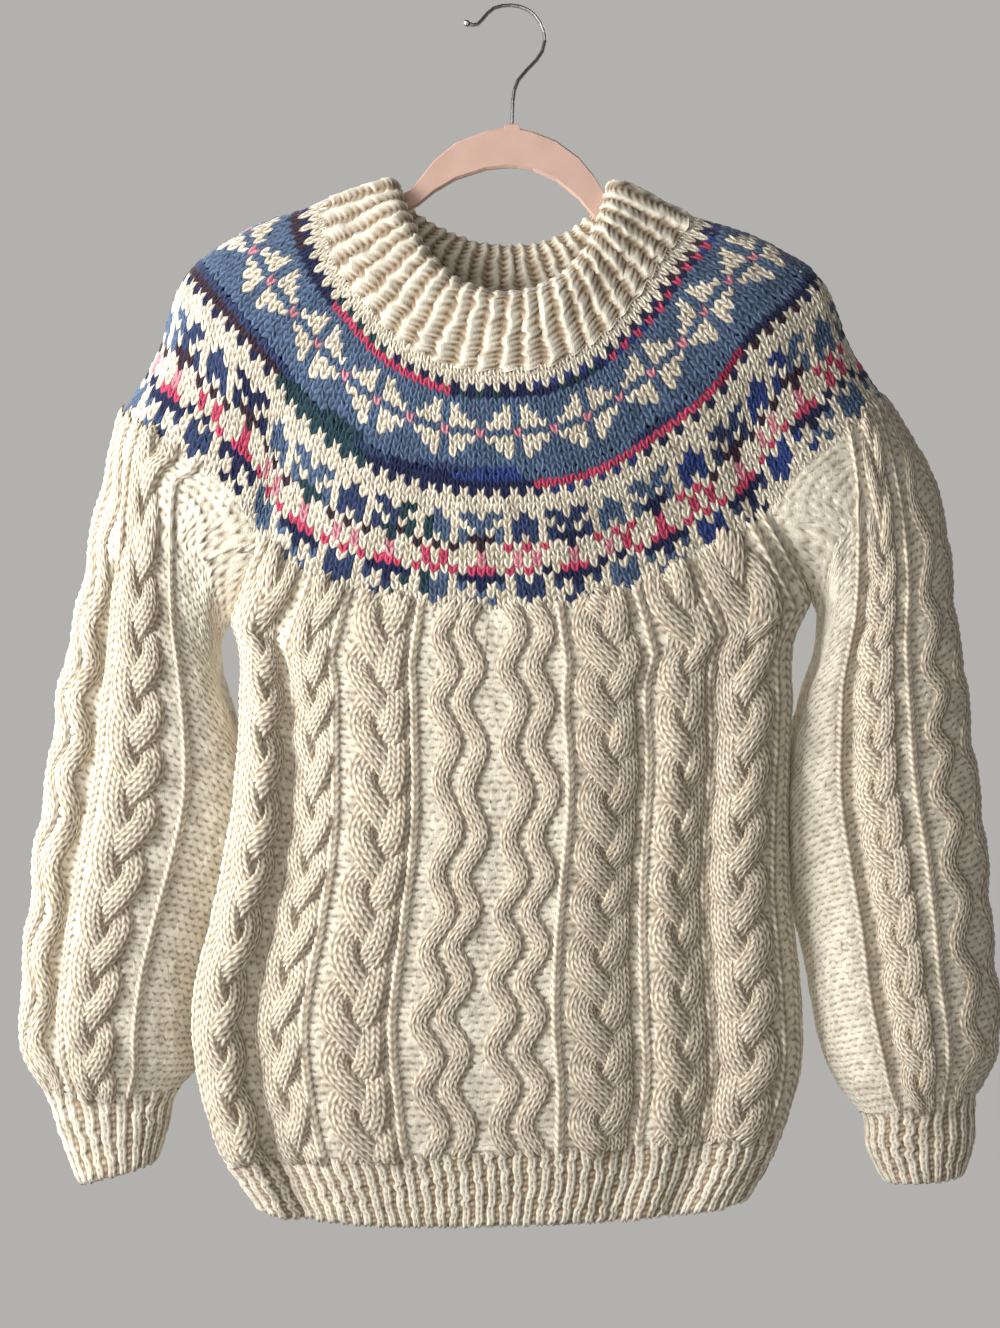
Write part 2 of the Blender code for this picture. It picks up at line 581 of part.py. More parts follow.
def cloth_mesh(piece):
    """Points and triangles of a piece as a wall with a plain inside."""
    outer = piece.ground + piece.normals * piece.relief[..., None] + piece.shift
    inner = piece.ground - piece.normals * WALL + piece.shift
    inner = inner[piece.rows_in][:, piece.cols_in]
    outside = np.arange(outer.shape[0] * outer.shape[1]).reshape(outer.shape[:2])
    inside = outside.size + np.arange(inner.shape[0] * inner.shape[1]).reshape(inner.shape[:2])
    kept = list(piece.cols_in)
    if piece.closed:
        kept.append(outer.shape[1])
        outside = np.concatenate((outside, outside[:, :1]), axis=1)
        inside = np.concatenate((inside, inside[:, :1]), axis=1)
    faces = grid_faces(outside, piece.slant) + grid_faces(inside, flip=True)
    line = piece.ground
    faces += rim_faces(outside[0], inside[0], kept, line[0], False)
    faces += rim_faces(outside[-1], inside[-1], kept, line[-1], True)
    if not piece.closed:
        rows = piece.rows_in
        faces += rim_faces(outside[:, 0], inside[:, 0], rows, line[:, 0], True)
        faces += rim_faces(outside[:, -1], inside[:, -1], rows, line[:, -1], False)
    points = np.concatenate((outer.reshape(-1, 3), inner.reshape(-1, 3)))
    return points, faces


def body_piece(name, knit, seam, profile, facing, tight):
    columns = knit_columns(knit, 1.0, 0.0065)
    across, relief, slant = knit_grid(columns, BODY_ROWS, WAVE_SWING)
    rise = np.tile(np.linspace(0.0, 1.0, BODY_ROWS + 1)[:, None], (1, across.shape[1]))
    relief[:, [0, -1]] = 0.0
    edge = np.minimum(across, 1.0 - across)
    high = ease((rise - FLAT_FROM) / (UNDERARM - FLAT_FROM))
    relief *= 1.0 - high * (1.0 - ease(edge / FLAT_WIDTH))
    if facing > 0:
        across, relief, slant = across[:, ::-1], relief[:, ::-1], turned(slant)
    ground = body_surface(across, rise, seam, profile, facing)
    kept = wall_columns(across[0], *tight)
    return Cloth(name, ground, relief, slant, BODY_WALL_ROWS, kept, False)


def sleeve_piece(name, folds, arcs, knit, groove, outer_first):
    """A sleeve tube; its columns go round from left to right in front."""
    halves = []
    for arc, facing, dent in zip(arcs, (-1, 1), (groove, None)):
        columns = knit_columns(knit, EDGE_END, 0.02)
        if len(columns) % 2 == 0:
            columns.insert(-1, ((columns[-2][0] + EDGE_END) / 2.0, "plain", 0.0))
        columns += [((1.0 + EDGE_END) / 2.0, "plain", 0.0), (1.0, "plain", 0.0)]
        turn, relief, slant = knit_grid(columns, SLEEVE_ROWS, SLEEVE_SWING)
        length = np.linspace(1.0, 0.0, SLEEVE_ROWS + 1)[:, None] * np.ones(len(columns))
        points = sleeve_surface(turn, length, *folds, arc, facing, dent)
        halves.append((points, relief, slant))
    outward, homeward = halves if outer_first else halves[::-1]
    ground = np.concatenate((outward[0][:, :-1], homeward[0][:, :0:-1]), axis=1)
    relief = np.concatenate((outward[1][:, :-1], homeward[1][:, :0:-1]), axis=1)
    slant = np.concatenate((outward[2][:-1], turned(homeward[2])[:-1]))
    fold = outward[0].shape[1] - 1
    kept = sorted({*range(0, ground.shape[1], 2), fold - 1, fold + 1})
    sleeve = Cloth(name, ground, relief, slant, SLEEVE_WALL_ROWS, kept, True)
    sleeve.fold = fold
    return sleeve


def rib_ring(count):
    """Relief of knit-one purl-one ribbing over a closed ring of columns."""
    relief = np.zeros(count)
    relief[::2] = EDGE_RISE
    return relief


def ring_places(loop, count, corner):
    """Even places on the two halves of a closed line, as fractions of its points."""
    closed = np.concatenate((loop, loop[:1]))
    reach = np.concatenate(([0.0], np.cumsum(np.linalg.norm(np.diff(closed, axis=0), axis=1))))
    half = np.linspace(0.0, 1.0, count + 1)[:-1]
    wanted = np.concatenate((
        half * reach[corner],
        reach[corner] + half * (reach[-1] - reach[corner]),
    ))
    return np.interp(wanted, reach, np.arange(len(closed)))


def at_places(values, places):
    low = np.floor(places).astype(int)
    count = len(values)
    return mix(values[low % count], values[(low + 1) % count], places - low)


def hem_piece(front, back):
    """Hem rib: a tube that goes on down from the body's lowest row."""
    share = np.linspace(0.0, 1.0, 2 * HEM_RIBS + 1)[:-1]
    lower = []
    for rise in (HEM_END, HEM_END / 2.0):
        level = np.full(len(share), rise)
        lower.append(np.concatenate((
            body_surface(share, level, FRONT_SEAM, FRONT_PROFILE, -1),
            body_surface(1.0 - share, level, BACK_SEAM, BACK_PROFILE, 1),
        )))
    return rib_tube("hem_rib", lower, (front, back), len(front.ground[0]) - 1)


def cuff_piece(name, sleeve, folds, arcs, outer_first):
    """Cuff rib: a tube that goes on down from the sleeve's lowest row."""
    turn = np.linspace(0.0, 1.0, 2 * CUFF_RIBS + 1)[:-1]
    order = (arcs[0], -1, arcs[1], 1) if outer_first else (arcs[1], 1, arcs[0], -1)
    lower = []
    for length in (CUFF_END, (1.0 + CUFF_END) / 2.0):
        level = np.full(len(turn), length)
        out = sleeve_surface(turn, level, *folds, order[0], order[1])
        home = sleeve_surface(1.0 - turn, level, *folds, order[2], order[3])
        lower.append(np.concatenate((out, home)))
    return rib_tube(name, lower, (sleeve,), sleeve.fold)


def lowest_row(pieces, kind):
    """Ground or normals of the lowest row, round one closed piece or two open ones."""
    rows = [getattr(piece, kind)[0] for piece in pieces]
    return rows[0] if len(rows) == 1 else np.concatenate([row[:-1] for row in rows])


def rib_tube(name, lower, above, corner):
    """Ribbed tube under the pieces above it, sharing their lowest row."""
    line = lowest_row(above, "ground")
    places = ring_places(line, len(lower[0]) // 2, corner)
    ground = np.stack(lower + [at_places(line, places)])
    relief = np.tile(rib_ring(ground.shape[1]), (3, 1))
    relief[-1] *= 0.3
    slant = np.ones(ground.shape[1], int)
    kept = range(0, ground.shape[1], 2)
    tube = Cloth(name, ground, relief, slant, (0, 1, 2), kept, True)
    tube.above = above
    tube.places = places
    return tube


def seam_ring(left, front, right, back):
    """The yoke's lower edge: the points that body and sleeves have on the seam."""
    left_top, right_top = left.ground[-1], right.ground[-1]
    left_inner, right_inner = left.fold, right.fold
    parts = (
        left_top[:left_inner - 2:2],
        front.ground[-1][front.cols_in][:-1],
        right_top[right_inner + 2::2],
        right_top[:right_inner - 2:2],
        back.ground[-1][back.cols_in][:-1],
        left_top[left_inner + 2::2],
    )
    front_count = sum(len(part) for part in parts[:3])
    return np.concatenate(parts), front_count


def ring_of(front, back, front_count, back_count):
    """Closed ring through a front and a back curve, evenly spaced on each."""
    go = np.linspace(0.0, 1.0, front_count + 1)[:-1]
    come = np.linspace(1.0, 0.0, back_count + 1)[:-1]
    return np.concatenate((along(front, go), along(back, come)))


def yoke_piece(seam, neck, front_count):
    """Round yoke from its seam (row 0) up to the neckband."""
    middle = (seam[:, 0].min() + seam[:, 0].max()) / 2.0
    side = (seam[:, 0] - middle) / (seam[:, 0].max() - middle)
    shoulder = (np.abs(side) - SHOULDER_FROM) / (1.0 - SHOULDER_FROM)
    at_left = np.where(side < 0.0, ease(shoulder), 0.0)[:, None]
    at_right = np.where(side > 0.0, ease(shoulder), 0.0)[:, None]
    ahead = (np.arange(len(seam)) < front_count)[:, None]
    level = (1.0 - side**4)[:, None]
    swell = at_left * LEFT_ROUND + at_right * RIGHT_ROUND
    swell = swell + level * np.where(ahead, CHEST_ROUND, BLADE_ROUND)
    rows = []
    for share in np.linspace(0.0, 1.0, YOKE_ROWS + 1):
        rows.append(seam + (neck - seam) * share + swell * spline(SHOULDER_ROUND, share))
    ground = np.stack(rows)
    slant = np.ones(len(seam), int)
    rows_in = range(0, YOKE_ROWS + 1, 2)
    relief = np.zeros(ground.shape[:2])
    return Cloth("yoke", ground, relief, slant, rows_in, range(len(seam)), True)


def band_guide(neck, top):
    """Outside of the neckband as a ground grid, for the shared seam normals."""
    tangent = np.roll(top, -1, axis=0) - np.roll(top, 1, axis=0)
    outward = unit(np.cross(tangent, top - neck))
    ground = np.stack((neck, top + outward * BAND_WALL / 2.0))
    slant = np.ones(len(neck), int)
    relief = np.zeros(ground.shape[:2])
    return Cloth("band_guide", ground, relief, slant, (0, 1), range(len(neck)), True), outward


def neckband_mesh(guide, outward, top):
    """Folded ribbed band: a closed loop of rows round a hollow-free section."""
    neck = guide.ground[0]
    foot_normal = guide.normals[0]
    rise = unit(top - neck)
    rib = rib_ring(len(neck))[:, None]
    foot = neck + rise * SEAM_GAP / 2.0
    half = mix(neck, top + outward * BAND_WALL / 2.0, np.full(len(neck), BAND_MIDDLE))
    half_normal = unit(foot_normal + outward)
    rows = (
        foot,
        half + half_normal * (BAND_SWELL + rib),
        top + outward * (BAND_WALL / 2.0 + rib),
        top + rise * BAND_CROWN,
        top - outward * BAND_WALL / 2.0,
        foot - foot_normal * BAND_WALL,
    )
    count = len(neck)
    index = np.arange(len(rows) * count).reshape(len(rows), count)
    index = np.concatenate((index, index[:, :1]), axis=1)
    index = np.concatenate((index, index[:1]), axis=0)
    return np.concatenate(rows), grid_faces(index)


def hanger_mesh():
    """Flat plate with rounded edges, lofted through the sections from tip to tip."""
    half = HANGER_THICK / 2.0
    flat = half - HANGER_ROUND
    points = []
    for x, high, low in HANGER_SECTIONS:
        points += [
            (x, -flat, high), (x, flat, high), (x, half, high - HANGER_ROUND),
            (x, half, low + HANGER_ROUND), (x, flat, low), (x, -flat, low),
            (x, -half, low + HANGER_ROUND), (x, -half, high - HANGER_ROUND),
        ]
    sides = 8
    index = np.arange(len(points)).reshape(len(HANGER_SECTIONS), sides)
    index = np.concatenate((index, index[:, :1]), axis=1)
    faces = grid_faces(index, flip=True)
    faces.append(tuple(index[0, :sides]))
    faces.append(tuple(index[-1, :sides][::-1]))
    return np.array(points, float), faces


def material(name, colour, roughness, metallic=0.0):
    made = bpy.data.materials.new(name)
    made.use_nodes = True
    shader = made.node_tree.nodes["Principled BSDF"]
    shader.inputs["Base Color"].default_value = (*colour, 1.0)
    shader.inputs["Roughness"].default_value = roughness
    shader.inputs["Metallic"].default_value = metallic
    made.diffuse_color = (*colour, 1.0)
    return made


def mesh_object(name, points, faces, collection, look):
    mesh = bpy.data.meshes.new(name)
    mesh.from_pydata((np.asarray(points) * MM).tolist(), [], [tuple(map(int, f)) for f in faces])
    mesh.materials.append(look)
    mesh.update()
    made = bpy.data.objects.new(name, mesh)
    collection.objects.link(made)
    return made


def hook_object(collection, look):
    """Bent wire with a ball end, as a bevelled curve."""
    curve = bpy.data.curves.new("hanger_hook", "CURVE")
    curve.dimensions = "3D"
    curve.bevel_depth = MM
    curve.bevel_resolution = 2
    curve.use_fill_caps = True
    wire = curve.splines.new("POLY")
    wire.points.add(len(HOOK_PATH) - 1)
    for point, (x, z, radius) in zip(wire.points, HOOK_PATH):
        point.co = (x * MM, 0.0, z * MM, 1.0)
        point.radius = radius
    curve.materials.append(look)
    made = bpy.data.objects.new("hanger_hook", curve)
    collection.objects.link(made)
    return made


def build():
    for old in list(bpy.data.objects):
        bpy.data.objects.remove(old, do_unlink=True)
    collection = bpy.data.collections.new("fair_isle_jumper")
    bpy.context.scene.collection.children.link(collection)

    left_folds = (LEFT_SLEEVE_OUTER, LEFT_SLEEVE_INNER)
    right_folds = (RIGHT_SLEEVE_OUTER, RIGHT_SLEEVE_INNER)
    left_arcs = (LEFT_ARC_FRONT, LEFT_ARC_BACK)
    right_arcs = (RIGHT_ARC_FRONT, RIGHT_ARC_BACK)
    front = body_piece(
        "front_panel", FRONT_KNIT, FRONT_SEAM, FRONT_PROFILE, -1, FRONT_TIGHT)
    back = body_piece("back_panel", BACK_KNIT, BACK_SEAM, BACK_PROFILE, 1, BACK_TIGHT)
    left = sleeve_piece(
        "left_sleeve", left_folds, left_arcs, LEFT_SLEEVE_KNIT, LEFT_GROOVE, True)
    right = sleeve_piece(
        "right_sleeve", right_folds, right_arcs, RIGHT_SLEEVE_KNIT, RIGHT_GROOVE, False)
    hem = hem_piece(front, back)
    left_cuff = cuff_piece("left_cuff", left, left_folds, left_arcs, True)
    right_cuff = cuff_piece("right_cuff", right, right_folds, right_arcs, False)

    seam, front_count = seam_ring(left, front, right, back)
    back_count = len(seam) - front_count
    neck = ring_of(NECK_FRONT, NECK_BACK, front_count, back_count)
    top = ring_of(BAND_TOP_FRONT, BAND_TOP_BACK, front_count, back_count)
    yoke = yoke_piece(seam, neck, front_count)
    guide, outward = band_guide(neck, top)

    pieces = [front, back, left, right, hem, left_cuff, right_cuff, yoke]
    share_seams(pieces + [guide])
    for tube in (hem, left_cuff, right_cuff):
        tube.normals[-1] = at_places(lowest_row(tube.above, "normals"), tube.places)
        tube.shift[-1, :, 2] -= RIB_GAP
    meshes = {piece.name: cloth_mesh(piece) for piece in pieces}
    meshes["neckband"] = neckband_mesh(guide, outward, top)
    for name, (points, faces) in meshes.items():
        colour = COLOURWORK if name == "yoke" else CREAM
        look = material(name + "_wool", colour, WOOL_ROUGHNESS)
        mesh_object(name, points, faces, collection, look)
    points, faces = hanger_mesh()
    velvet = material("pink_velvet", PINK, WOOL_ROUGHNESS)
    mesh_object("hanger", points, faces, collection, velvet)
    hook_object(collection, material("hook_wire", STEEL, STEEL_ROUGHNESS, 1.0))


build()
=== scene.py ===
"""Looks of the hand-knitted yoke jumper: stitches, cables, colourwork, velvet and wire.

Each piece's smooth ground is worked out in millimetres from the same named sizes as in the
part's own source. Stitches, cables and ribs are laid on it.
"""

import bpy
import numpy as np
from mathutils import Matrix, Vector


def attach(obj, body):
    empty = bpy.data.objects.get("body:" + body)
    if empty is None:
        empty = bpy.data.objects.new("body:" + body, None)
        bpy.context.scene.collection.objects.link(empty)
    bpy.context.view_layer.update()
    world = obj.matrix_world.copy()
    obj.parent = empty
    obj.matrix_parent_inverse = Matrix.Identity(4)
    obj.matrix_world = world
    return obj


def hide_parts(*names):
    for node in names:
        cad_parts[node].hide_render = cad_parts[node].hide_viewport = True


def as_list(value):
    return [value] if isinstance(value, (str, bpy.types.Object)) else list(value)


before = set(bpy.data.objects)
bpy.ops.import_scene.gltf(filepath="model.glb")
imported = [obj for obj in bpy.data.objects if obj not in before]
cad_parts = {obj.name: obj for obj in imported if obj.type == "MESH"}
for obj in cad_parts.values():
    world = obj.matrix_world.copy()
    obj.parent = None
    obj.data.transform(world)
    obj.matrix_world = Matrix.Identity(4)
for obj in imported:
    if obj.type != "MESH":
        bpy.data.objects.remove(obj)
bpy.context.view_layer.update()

MM = 0.001
BAND_WALL = 9.0  # the neckband is folded double
BAND_CROWN = 3.5
BAND_MIDDLE = 0.45
BAND_SWELL = 1.2
BAND_KNOTS = (0.0, 0.22, 0.44, 0.5, 0.56, 0.78, 1.0)  # its section, from foot to inner foot
UNDERARM = 0.9
ARMHOLE_BOW = 4.0
HEM_END = -0.15
CUFF_END = 1.16
EDGE_END = 0.8
SLEEVE_ROUND = 0.8
SLEEVE_SETTLE = 0.35
FAST_FALL = 0.045
SLOW_FALL = 0.345
GROOVE_ENDS = (0.1, 0.12)
DRAPE_FROM = 0.5
SETTLE_FROM = 0.6
ARMHOLE_BESIDE = 0.15
SHOULDER_FROM = 0.35
DROOP_POWER = 3  # the higher, the flatter the middle of the curve
CHEST_POWER = 4

# Side folds of the body: height share (0 = top of the hem rib), x, y, z
LEFT_SIDE = (
    (-0.15, -185, -8, -879), (-0.07, -200, -10, -856), (0.0, -210, -12, -839),
    (0.115, -225, -18, -787), (0.235, -230, -22, -732), (0.405, -214, -22, -656),
    (0.57, -201, -20, -584), (0.74, -197, -13, -508), (0.85, -198, -10, -467),
    (0.9, -204, -6.5, -448),
)
RIGHT_SIDE = (
    (-0.15, 175, -4, -871), (-0.07, 194, -4, -838), (0.0, 200, -4, -819),
    (0.115, 212, -4, -772), (0.235, 211, -4, -720), (0.405, 203, -4, -647),
    (0.57, 202, -4, -582), (0.74, 205, -4, -508), (0.85, 208, -4, -457),
    (0.9, 220, -3, -433),
)
# Depth of the body in front of and behind its side folds: width share, depth.
# The front has a roll at its left side and a deep crease beside it.
FRONT_PROFILE = (
    (0.0, 0), (0.012, 7), (0.03, 13), (0.055, 17), (0.085, 9), (0.103, 4), (0.125, 9),
    (0.17, 16), (0.3, 20), (0.5, 22), (0.66, 22), (0.725, 18), (0.77, 22), (0.848, 16),
    (0.9, 23), (0.955, 19), (0.985, 11), (1.0, 0),
)
BACK_PROFILE = (
    (0.0, 0), (0.015, 7), (0.04, 14), (0.08, 25), (0.13, 38), (0.2, 45), (0.5, 41),
    (0.8, 35), (0.93, 30), (0.97, 21), (0.988, 12), (1.0, 0),
)
# Height share, swell of the front and back, droop of the middle, and share of the yoke
# seam's dip that the rows follow
BODY_DRAPE = (
    (-0.15, 0.7, 0.55, 12, 0.0),
    (-0.07, 0.8, 0.7, 7, 0.0),
    (0.0, 0.9, 0.85, 3, 0.0),
    (0.2, 1.0, 1.0, 0, 0.22),
    (0.45, 1.05, 1.0, 0, 0.42),
    (0.7, 1.15, 0.9, 0, 0.6),
    (0.9, 1.2, 0.8, 0, 0.75),
    (1.0, 1.2, 0.7, 0, 1.0),
)

# Yoke seam over the front and the back, left corner to right corner: x, y, z
FRONT_SEAM = (
    (-181.6, -30, -394.5), (-161.8, -34, -413.4), (-143.7, -36, -423.5),
    (-115.0, -38, -432.8), (-65.0, -40, -442.1), (-8.1, -41, -445.0),
    (34.6, -41, -442.9), (63.1, -40, -439.3), (91.6, -39, -430.7),
    (127.5, -37, -413.5), (159.8, -35, -397.7), (186.9, -31, -375.9),
)
BACK_SEAM = (
    (-188.9, 24, -389.4), (-168.9, 26, -405.7), (-150.3, 27, -415.4),
    (-120.5, 28, -424.3), (-68.0, 28, -432.5), (-8.1, 28, -434.8),
    (36.9, 28, -432.5), (66.9, 28, -428.8), (96.8, 28, -420.6),
    (134.2, 27, -405.6), (167.8, 26, -390.7), (195.2, 24, -369.9),
)
# Yoke seam over each sleeve, from the outer fold to the body's corner: x, y, z
LEFT_ARC_FRONT = (
    (-286.9, 0, -303.7), (-282.1, -9, -307.1), (-273.0, -18, -312.6),
    (-256.3, -26, -322.3), (-233.8, -31, -337.2), (-212.0, -33, -351.8),
    (-190.7, -32, -373.1), (-181.6, -30, -394.5),
)
LEFT_ARC_BACK = (
    (-286.9, 0, -303.7), (-285.0, 8, -305.0), (-279.7, 15, -308.3),
    (-265.3, 21, -316.5), (-243.6, 25, -331.0), (-221.3, 26, -345.8),
    (-198.7, 25, -368.4), (-188.9, 24, -389.4),
)
RIGHT_ARC_FRONT = (
    (275.9, 0, -291.9), (271.8, -9, -295.4), (264.8, -18, -301.0),
    (250.9, -26, -313.6), (228.4, -31, -326.5), (206.6, -33, -344.6),
    (196.0, -32, -358.8), (186.9, -31, -375.9),
)
RIGHT_ARC_BACK = (
    (275.9, 0, -291.9), (275.2, 8, -293.0), (271.7, 15, -296.5),
    (260.3, 21, -307.6), (238.7, 25, -319.8), (216.4, 26, -338.3),
    (205.0, 25, -353.4), (195.2, 24, -369.9),
)
# Foot of the neckband and middle of its folded top, left shoulder to right: x, y, z
NECK_FRONT = (
    (-141.6, 0, -144.4), (-141.8, -9, -148.6), (-141.8, -13, -157.4),
    (-137.5, -22, -179.2), (-127.9, -30, -204.9), (-110.2, -36, -225.7),
    (-89.9, -41, -250.2), (-64.8, -45, -267.9), (-36.4, -47, -278.1),
    (-2.4, -48, -279.7), (30.9, -47, -274.6), (59.4, -43, -258.3),
    (81.0, -38, -238.2), (99.3, -32, -215.6), (114.4, -25, -190.9),
    (128.5, -16, -173.5), (134.5, -11, -160.5), (136.5, 0, -154.7),
)
NECK_BACK = (
    (-141.6, 0, -144.4), (-140.5, 9, -148.6), (-136.0, 13, -157.4),
    (-112.0, 16, -179.2), (-86.2, 18, -199.4), (-49.0, 20, -217.6),
    (-2.1, 20, -224.3), (47.8, 20, -216.8), (84.9, 18, -199.4),
    (110.7, 16, -181.5), (129.0, 13, -168.0), (135.0, 9, -159.0), (136.5, 0, -154.7),
)
BAND_TOP_FRONT = (
    (-85.9, 0, -132.0), (-84.9, -6, -134.4), (-83.1, -8.5, -140.9), (-78.3, -16, -155.3),
    (-71.5, -23, -172.2), (-60.4, -29, -189.4), (-43.8, -33, -206.9),
    (-23.8, -35, -217.3), (-2.4, -36, -220.4), (20.5, -35, -215.9),
    (39.1, -32, -205.3), (53.7, -27, -188.4), (63.4, -20, -168.8),
    (69.7, -12, -150.6), (72.5, -8, -141.0), (73.6, -5.5, -135.0), (74.1, 0, -132.7),
)
BAND_TOP_BACK = (
    (-85.9, 0, -132.0), (-84.5, 6, -134.4), (-81.5, 8.5, -140.9), (-73.8, 11, -150.0),
    (-58.4, 13, -160.5), (-34.0, 14, -171.3), (-2.1, 14, -175.7),
    (27.5, 14, -172.0), (49.7, 13, -162.1), (64.3, 11, -150.0),
    (71.0, 8, -141.0), (73.4, 5.5, -135.0), (74.1, 0, -132.7),
)
# Share of the way from yoke seam to neckband, how far the shoulders round out
SHOULDER_ROUND = ((0.0, 0.0), (0.25, 0.35), (0.5, 1.0), (0.75, 0.74), (1.0, 0.0))
LEFT_ROUND = (-25.0, 0.0, 25.0)
RIGHT_ROUND = (22.0, 0.0, 22.0)
CHEST_ROUND = (0.0, -7.0, 0.0)
BLADE_ROUND = (0.0, 5.0, 0.0)

# Folds of each sleeve: length share (0 = yoke, 1 = cuff), x, y, z
LEFT_SLEEVE_OUTER = (
    (0.0, -286.9, 0, -303.7), (0.1, -299, 0, -352), (0.2, -309, 0, -401),
    (0.3, -318, 0, -450), (0.4, -329, 0, -499), (0.5, -335, 0, -547),
    (0.6, -343, 0, -596), (0.7, -349, 0, -645), (0.8, -354, 0, -693),
    (0.9, -357, 0, -742), (0.96, -353, 0, -772), (1.0, -342, 0, -791),
    (1.08, -329, 0, -826), (1.16, -316, 0, -861),
)
LEFT_SLEEVE_INNER = (
    (0.0, -204, -6.5, -448), (0.05, -213, -4, -464), (0.1, -215, 0, -483),
    (0.2, -212, 7, -517), (0.3, -200, 12, -551), (0.4, -191, 16, -586), (0.5, -190, 17, -620),
    (0.6, -200, 17, -655), (0.7, -213, 15, -690), (0.8, -224, 13, -724),
    (0.9, -230, 11, -759), (0.96, -233, 8, -779), (1.0, -245, 3, -793),
    (1.08, -253, 2, -821), (1.16, -260, 1, -845),
)
RIGHT_SLEEVE_OUTER = (
    (0.0, 275.9, 0, -291.9), (0.1, 306, 0, -342), (0.2, 318, 0, -392),
    (0.3, 322, 0, -442), (0.4, 330, 0, -492), (0.5, 335, 0, -541),
    (0.6, 342, 0, -591), (0.7, 346, 0, -641), (0.8, 350, 0, -691),
    (0.9, 355, 0, -743), (0.96, 350, 0, -771), (1.0, 340, 0, -791),
    (1.08, 339, 0, -824), (1.16, 331, 0, -855),
)
RIGHT_SLEEVE_INNER = (
    (0.0, 220, -3, -433), (0.05, 227, -2, -451), (0.1, 227, 0, -470),
    (0.2, 222, 2, -508), (0.3, 208, 9, -546), (0.4, 202, 12, -584), (0.5, 201, 14, -621),
    (0.6, 208, 13, -660), (0.7, 217, 10, -697), (0.8, 223, 5, -735),
    (0.9, 233, 4, -773), (0.96, 244, 3, -794), (1.0, 258, 2, -810),
    (1.08, 262, 1, -836), (1.16, 274, 1, -860),
)
# Length share, depth of a sleeve in front of and behind its folds
SLEEVE_DEPTH = (
    (0.0, 30, 26), (0.2, 35, 24), (0.5, 38, 20), (0.8, 38, 19), (0.94, 34, 19),
    (1.0, 24, 18), (1.08, 19, 16), (1.16, 17, 14),
)
# One long groove down the front of each sleeve: half-turn share, depth, half width
LEFT_GROOVE = (0.31, 9.0, 0.05)
RIGHT_GROOVE = (0.60, 8.0, 0.05)

# What is raised on each piece, left to right: kind, centre as a share of the piece's width,
# and for a cable its width as a share of it and its phase
FRONT_KNIT = (
    ("rib", 0.012), ("right cable", 0.054, 0.075, 0.3), ("rib", 0.112),
    ("right cable", 0.146, 0.072, 0.9), ("rib", 0.186), ("left cable", 0.262, 0.098, 0.5),
    ("rib", 0.327), ("wave", 0.385), ("wave", 0.429), ("mirror wave", 0.506),
    ("mirror wave", 0.553), ("rib", 0.595), ("left cable", 0.665, 0.1, 0.9), ("rib", 0.738),
    ("left cable", 0.796, 0.086, 0.5), ("rib", 0.848), ("right cable", 0.906, 0.1, 0.1),
    ("rib", 0.966), ("rib", 0.988),
)
BACK_KNIT = (
    ("rib", 0.014), ("cable", 0.078, 0.09, 0.3), ("rib", 0.142), ("cable", 0.208, 0.09, 0.9),
    ("rib", 0.274), ("cable", 0.336, 0.09, 0.5), ("rib", 0.398), ("wave", 0.438),
    ("mirror wave", 0.562), ("rib", 0.602), ("cable", 0.664, 0.09, 0.3), ("rib", 0.726),
    ("cable", 0.792, 0.09, 0.9), ("rib", 0.858), ("cable", 0.922, 0.09, 0.5), ("rib", 0.986),
)
# The same over half a turn of a sleeve, counted from its outer fold
LEFT_SLEEVE_KNIT = (
    ("wave", 0.13), ("wave", 0.25), ("rib", 0.345), ("right cable", 0.465, 0.21, 0.9),
    ("rib", 0.62),
)
RIGHT_SLEEVE_KNIT = (
    ("wave", 0.10), ("mirror wave", 0.29), ("rib", 0.40), ("left cable", 0.53, 0.18, 0.2),
    ("rib", 0.65),
)
# Flat size of each sheet before it is joined, in metres
BODY_FLAT = (0.44, 0.40)
SLEEVE_FLAT = (0.27, 0.50)
YOKE_FLAT = (1.20, 0.19)
BAND_FLAT = (0.60, 0.17)
HEM_FLAT = (0.90, 0.10)
CUFF_FLAT = (0.24, 0.10)


def linear(red, green, blue):
    """The linear values of an sRGB colour."""
    values = np.array((red, green, blue)) / 255.0
    return np.where(values <= 0.04045, values / 12.92, ((values + 0.055) / 1.055) ** 2.4)


# ---- colours and sizes of the knit
CREAM = linear(240, 231, 211)
WHITE = (1.0, 1.0, 1.0, 1.0)
# Painted shade: colours the wool darkens towards where its "height" is low, down between stitches,
# under cables and along strand edges
CREAM_SHADE = (0.24, 0.15, 0.07, 1.0)
DARK_SHADE = (0.10, 0.10, 0.13, 1.0)
SHADE_UP_TO = 0.6  # share of a stitch's height over which painted shade lightens to none
PALE_YARN = (0.25, 0.6)  # painted shade goes from dark to cream's brown over this span of a yarn's red
CREAM_STREAK = 0.10  # how far hairs are lighter or darker than their yarn
YOKE_STREAK = 0.26
# Noises: scale, detail and stretch. A span of their values becomes a blend or a tone.
WOOL_PATCHES = (38.0, 3.0)
WOOL_FIBRE = (900.0, 4.0, (1.0, 1.0, 0.35))
BLOTCHES = (30.0, 4.0)
FLOCK = (2600.0, 3.0)
WIRE_MARKS = (700.0, 3.0, (1.0, 1.0, 0.05))
NOISE_SPAN = (0.3, 0.7)
FIBRE_SPAN = (0.35, 0.65)
BLOTCH_SPAN = (0.35, 0.7)
PATCH_TONE = (0.93, 1.05)
FLOCK_TONE = (0.9, 1.06)
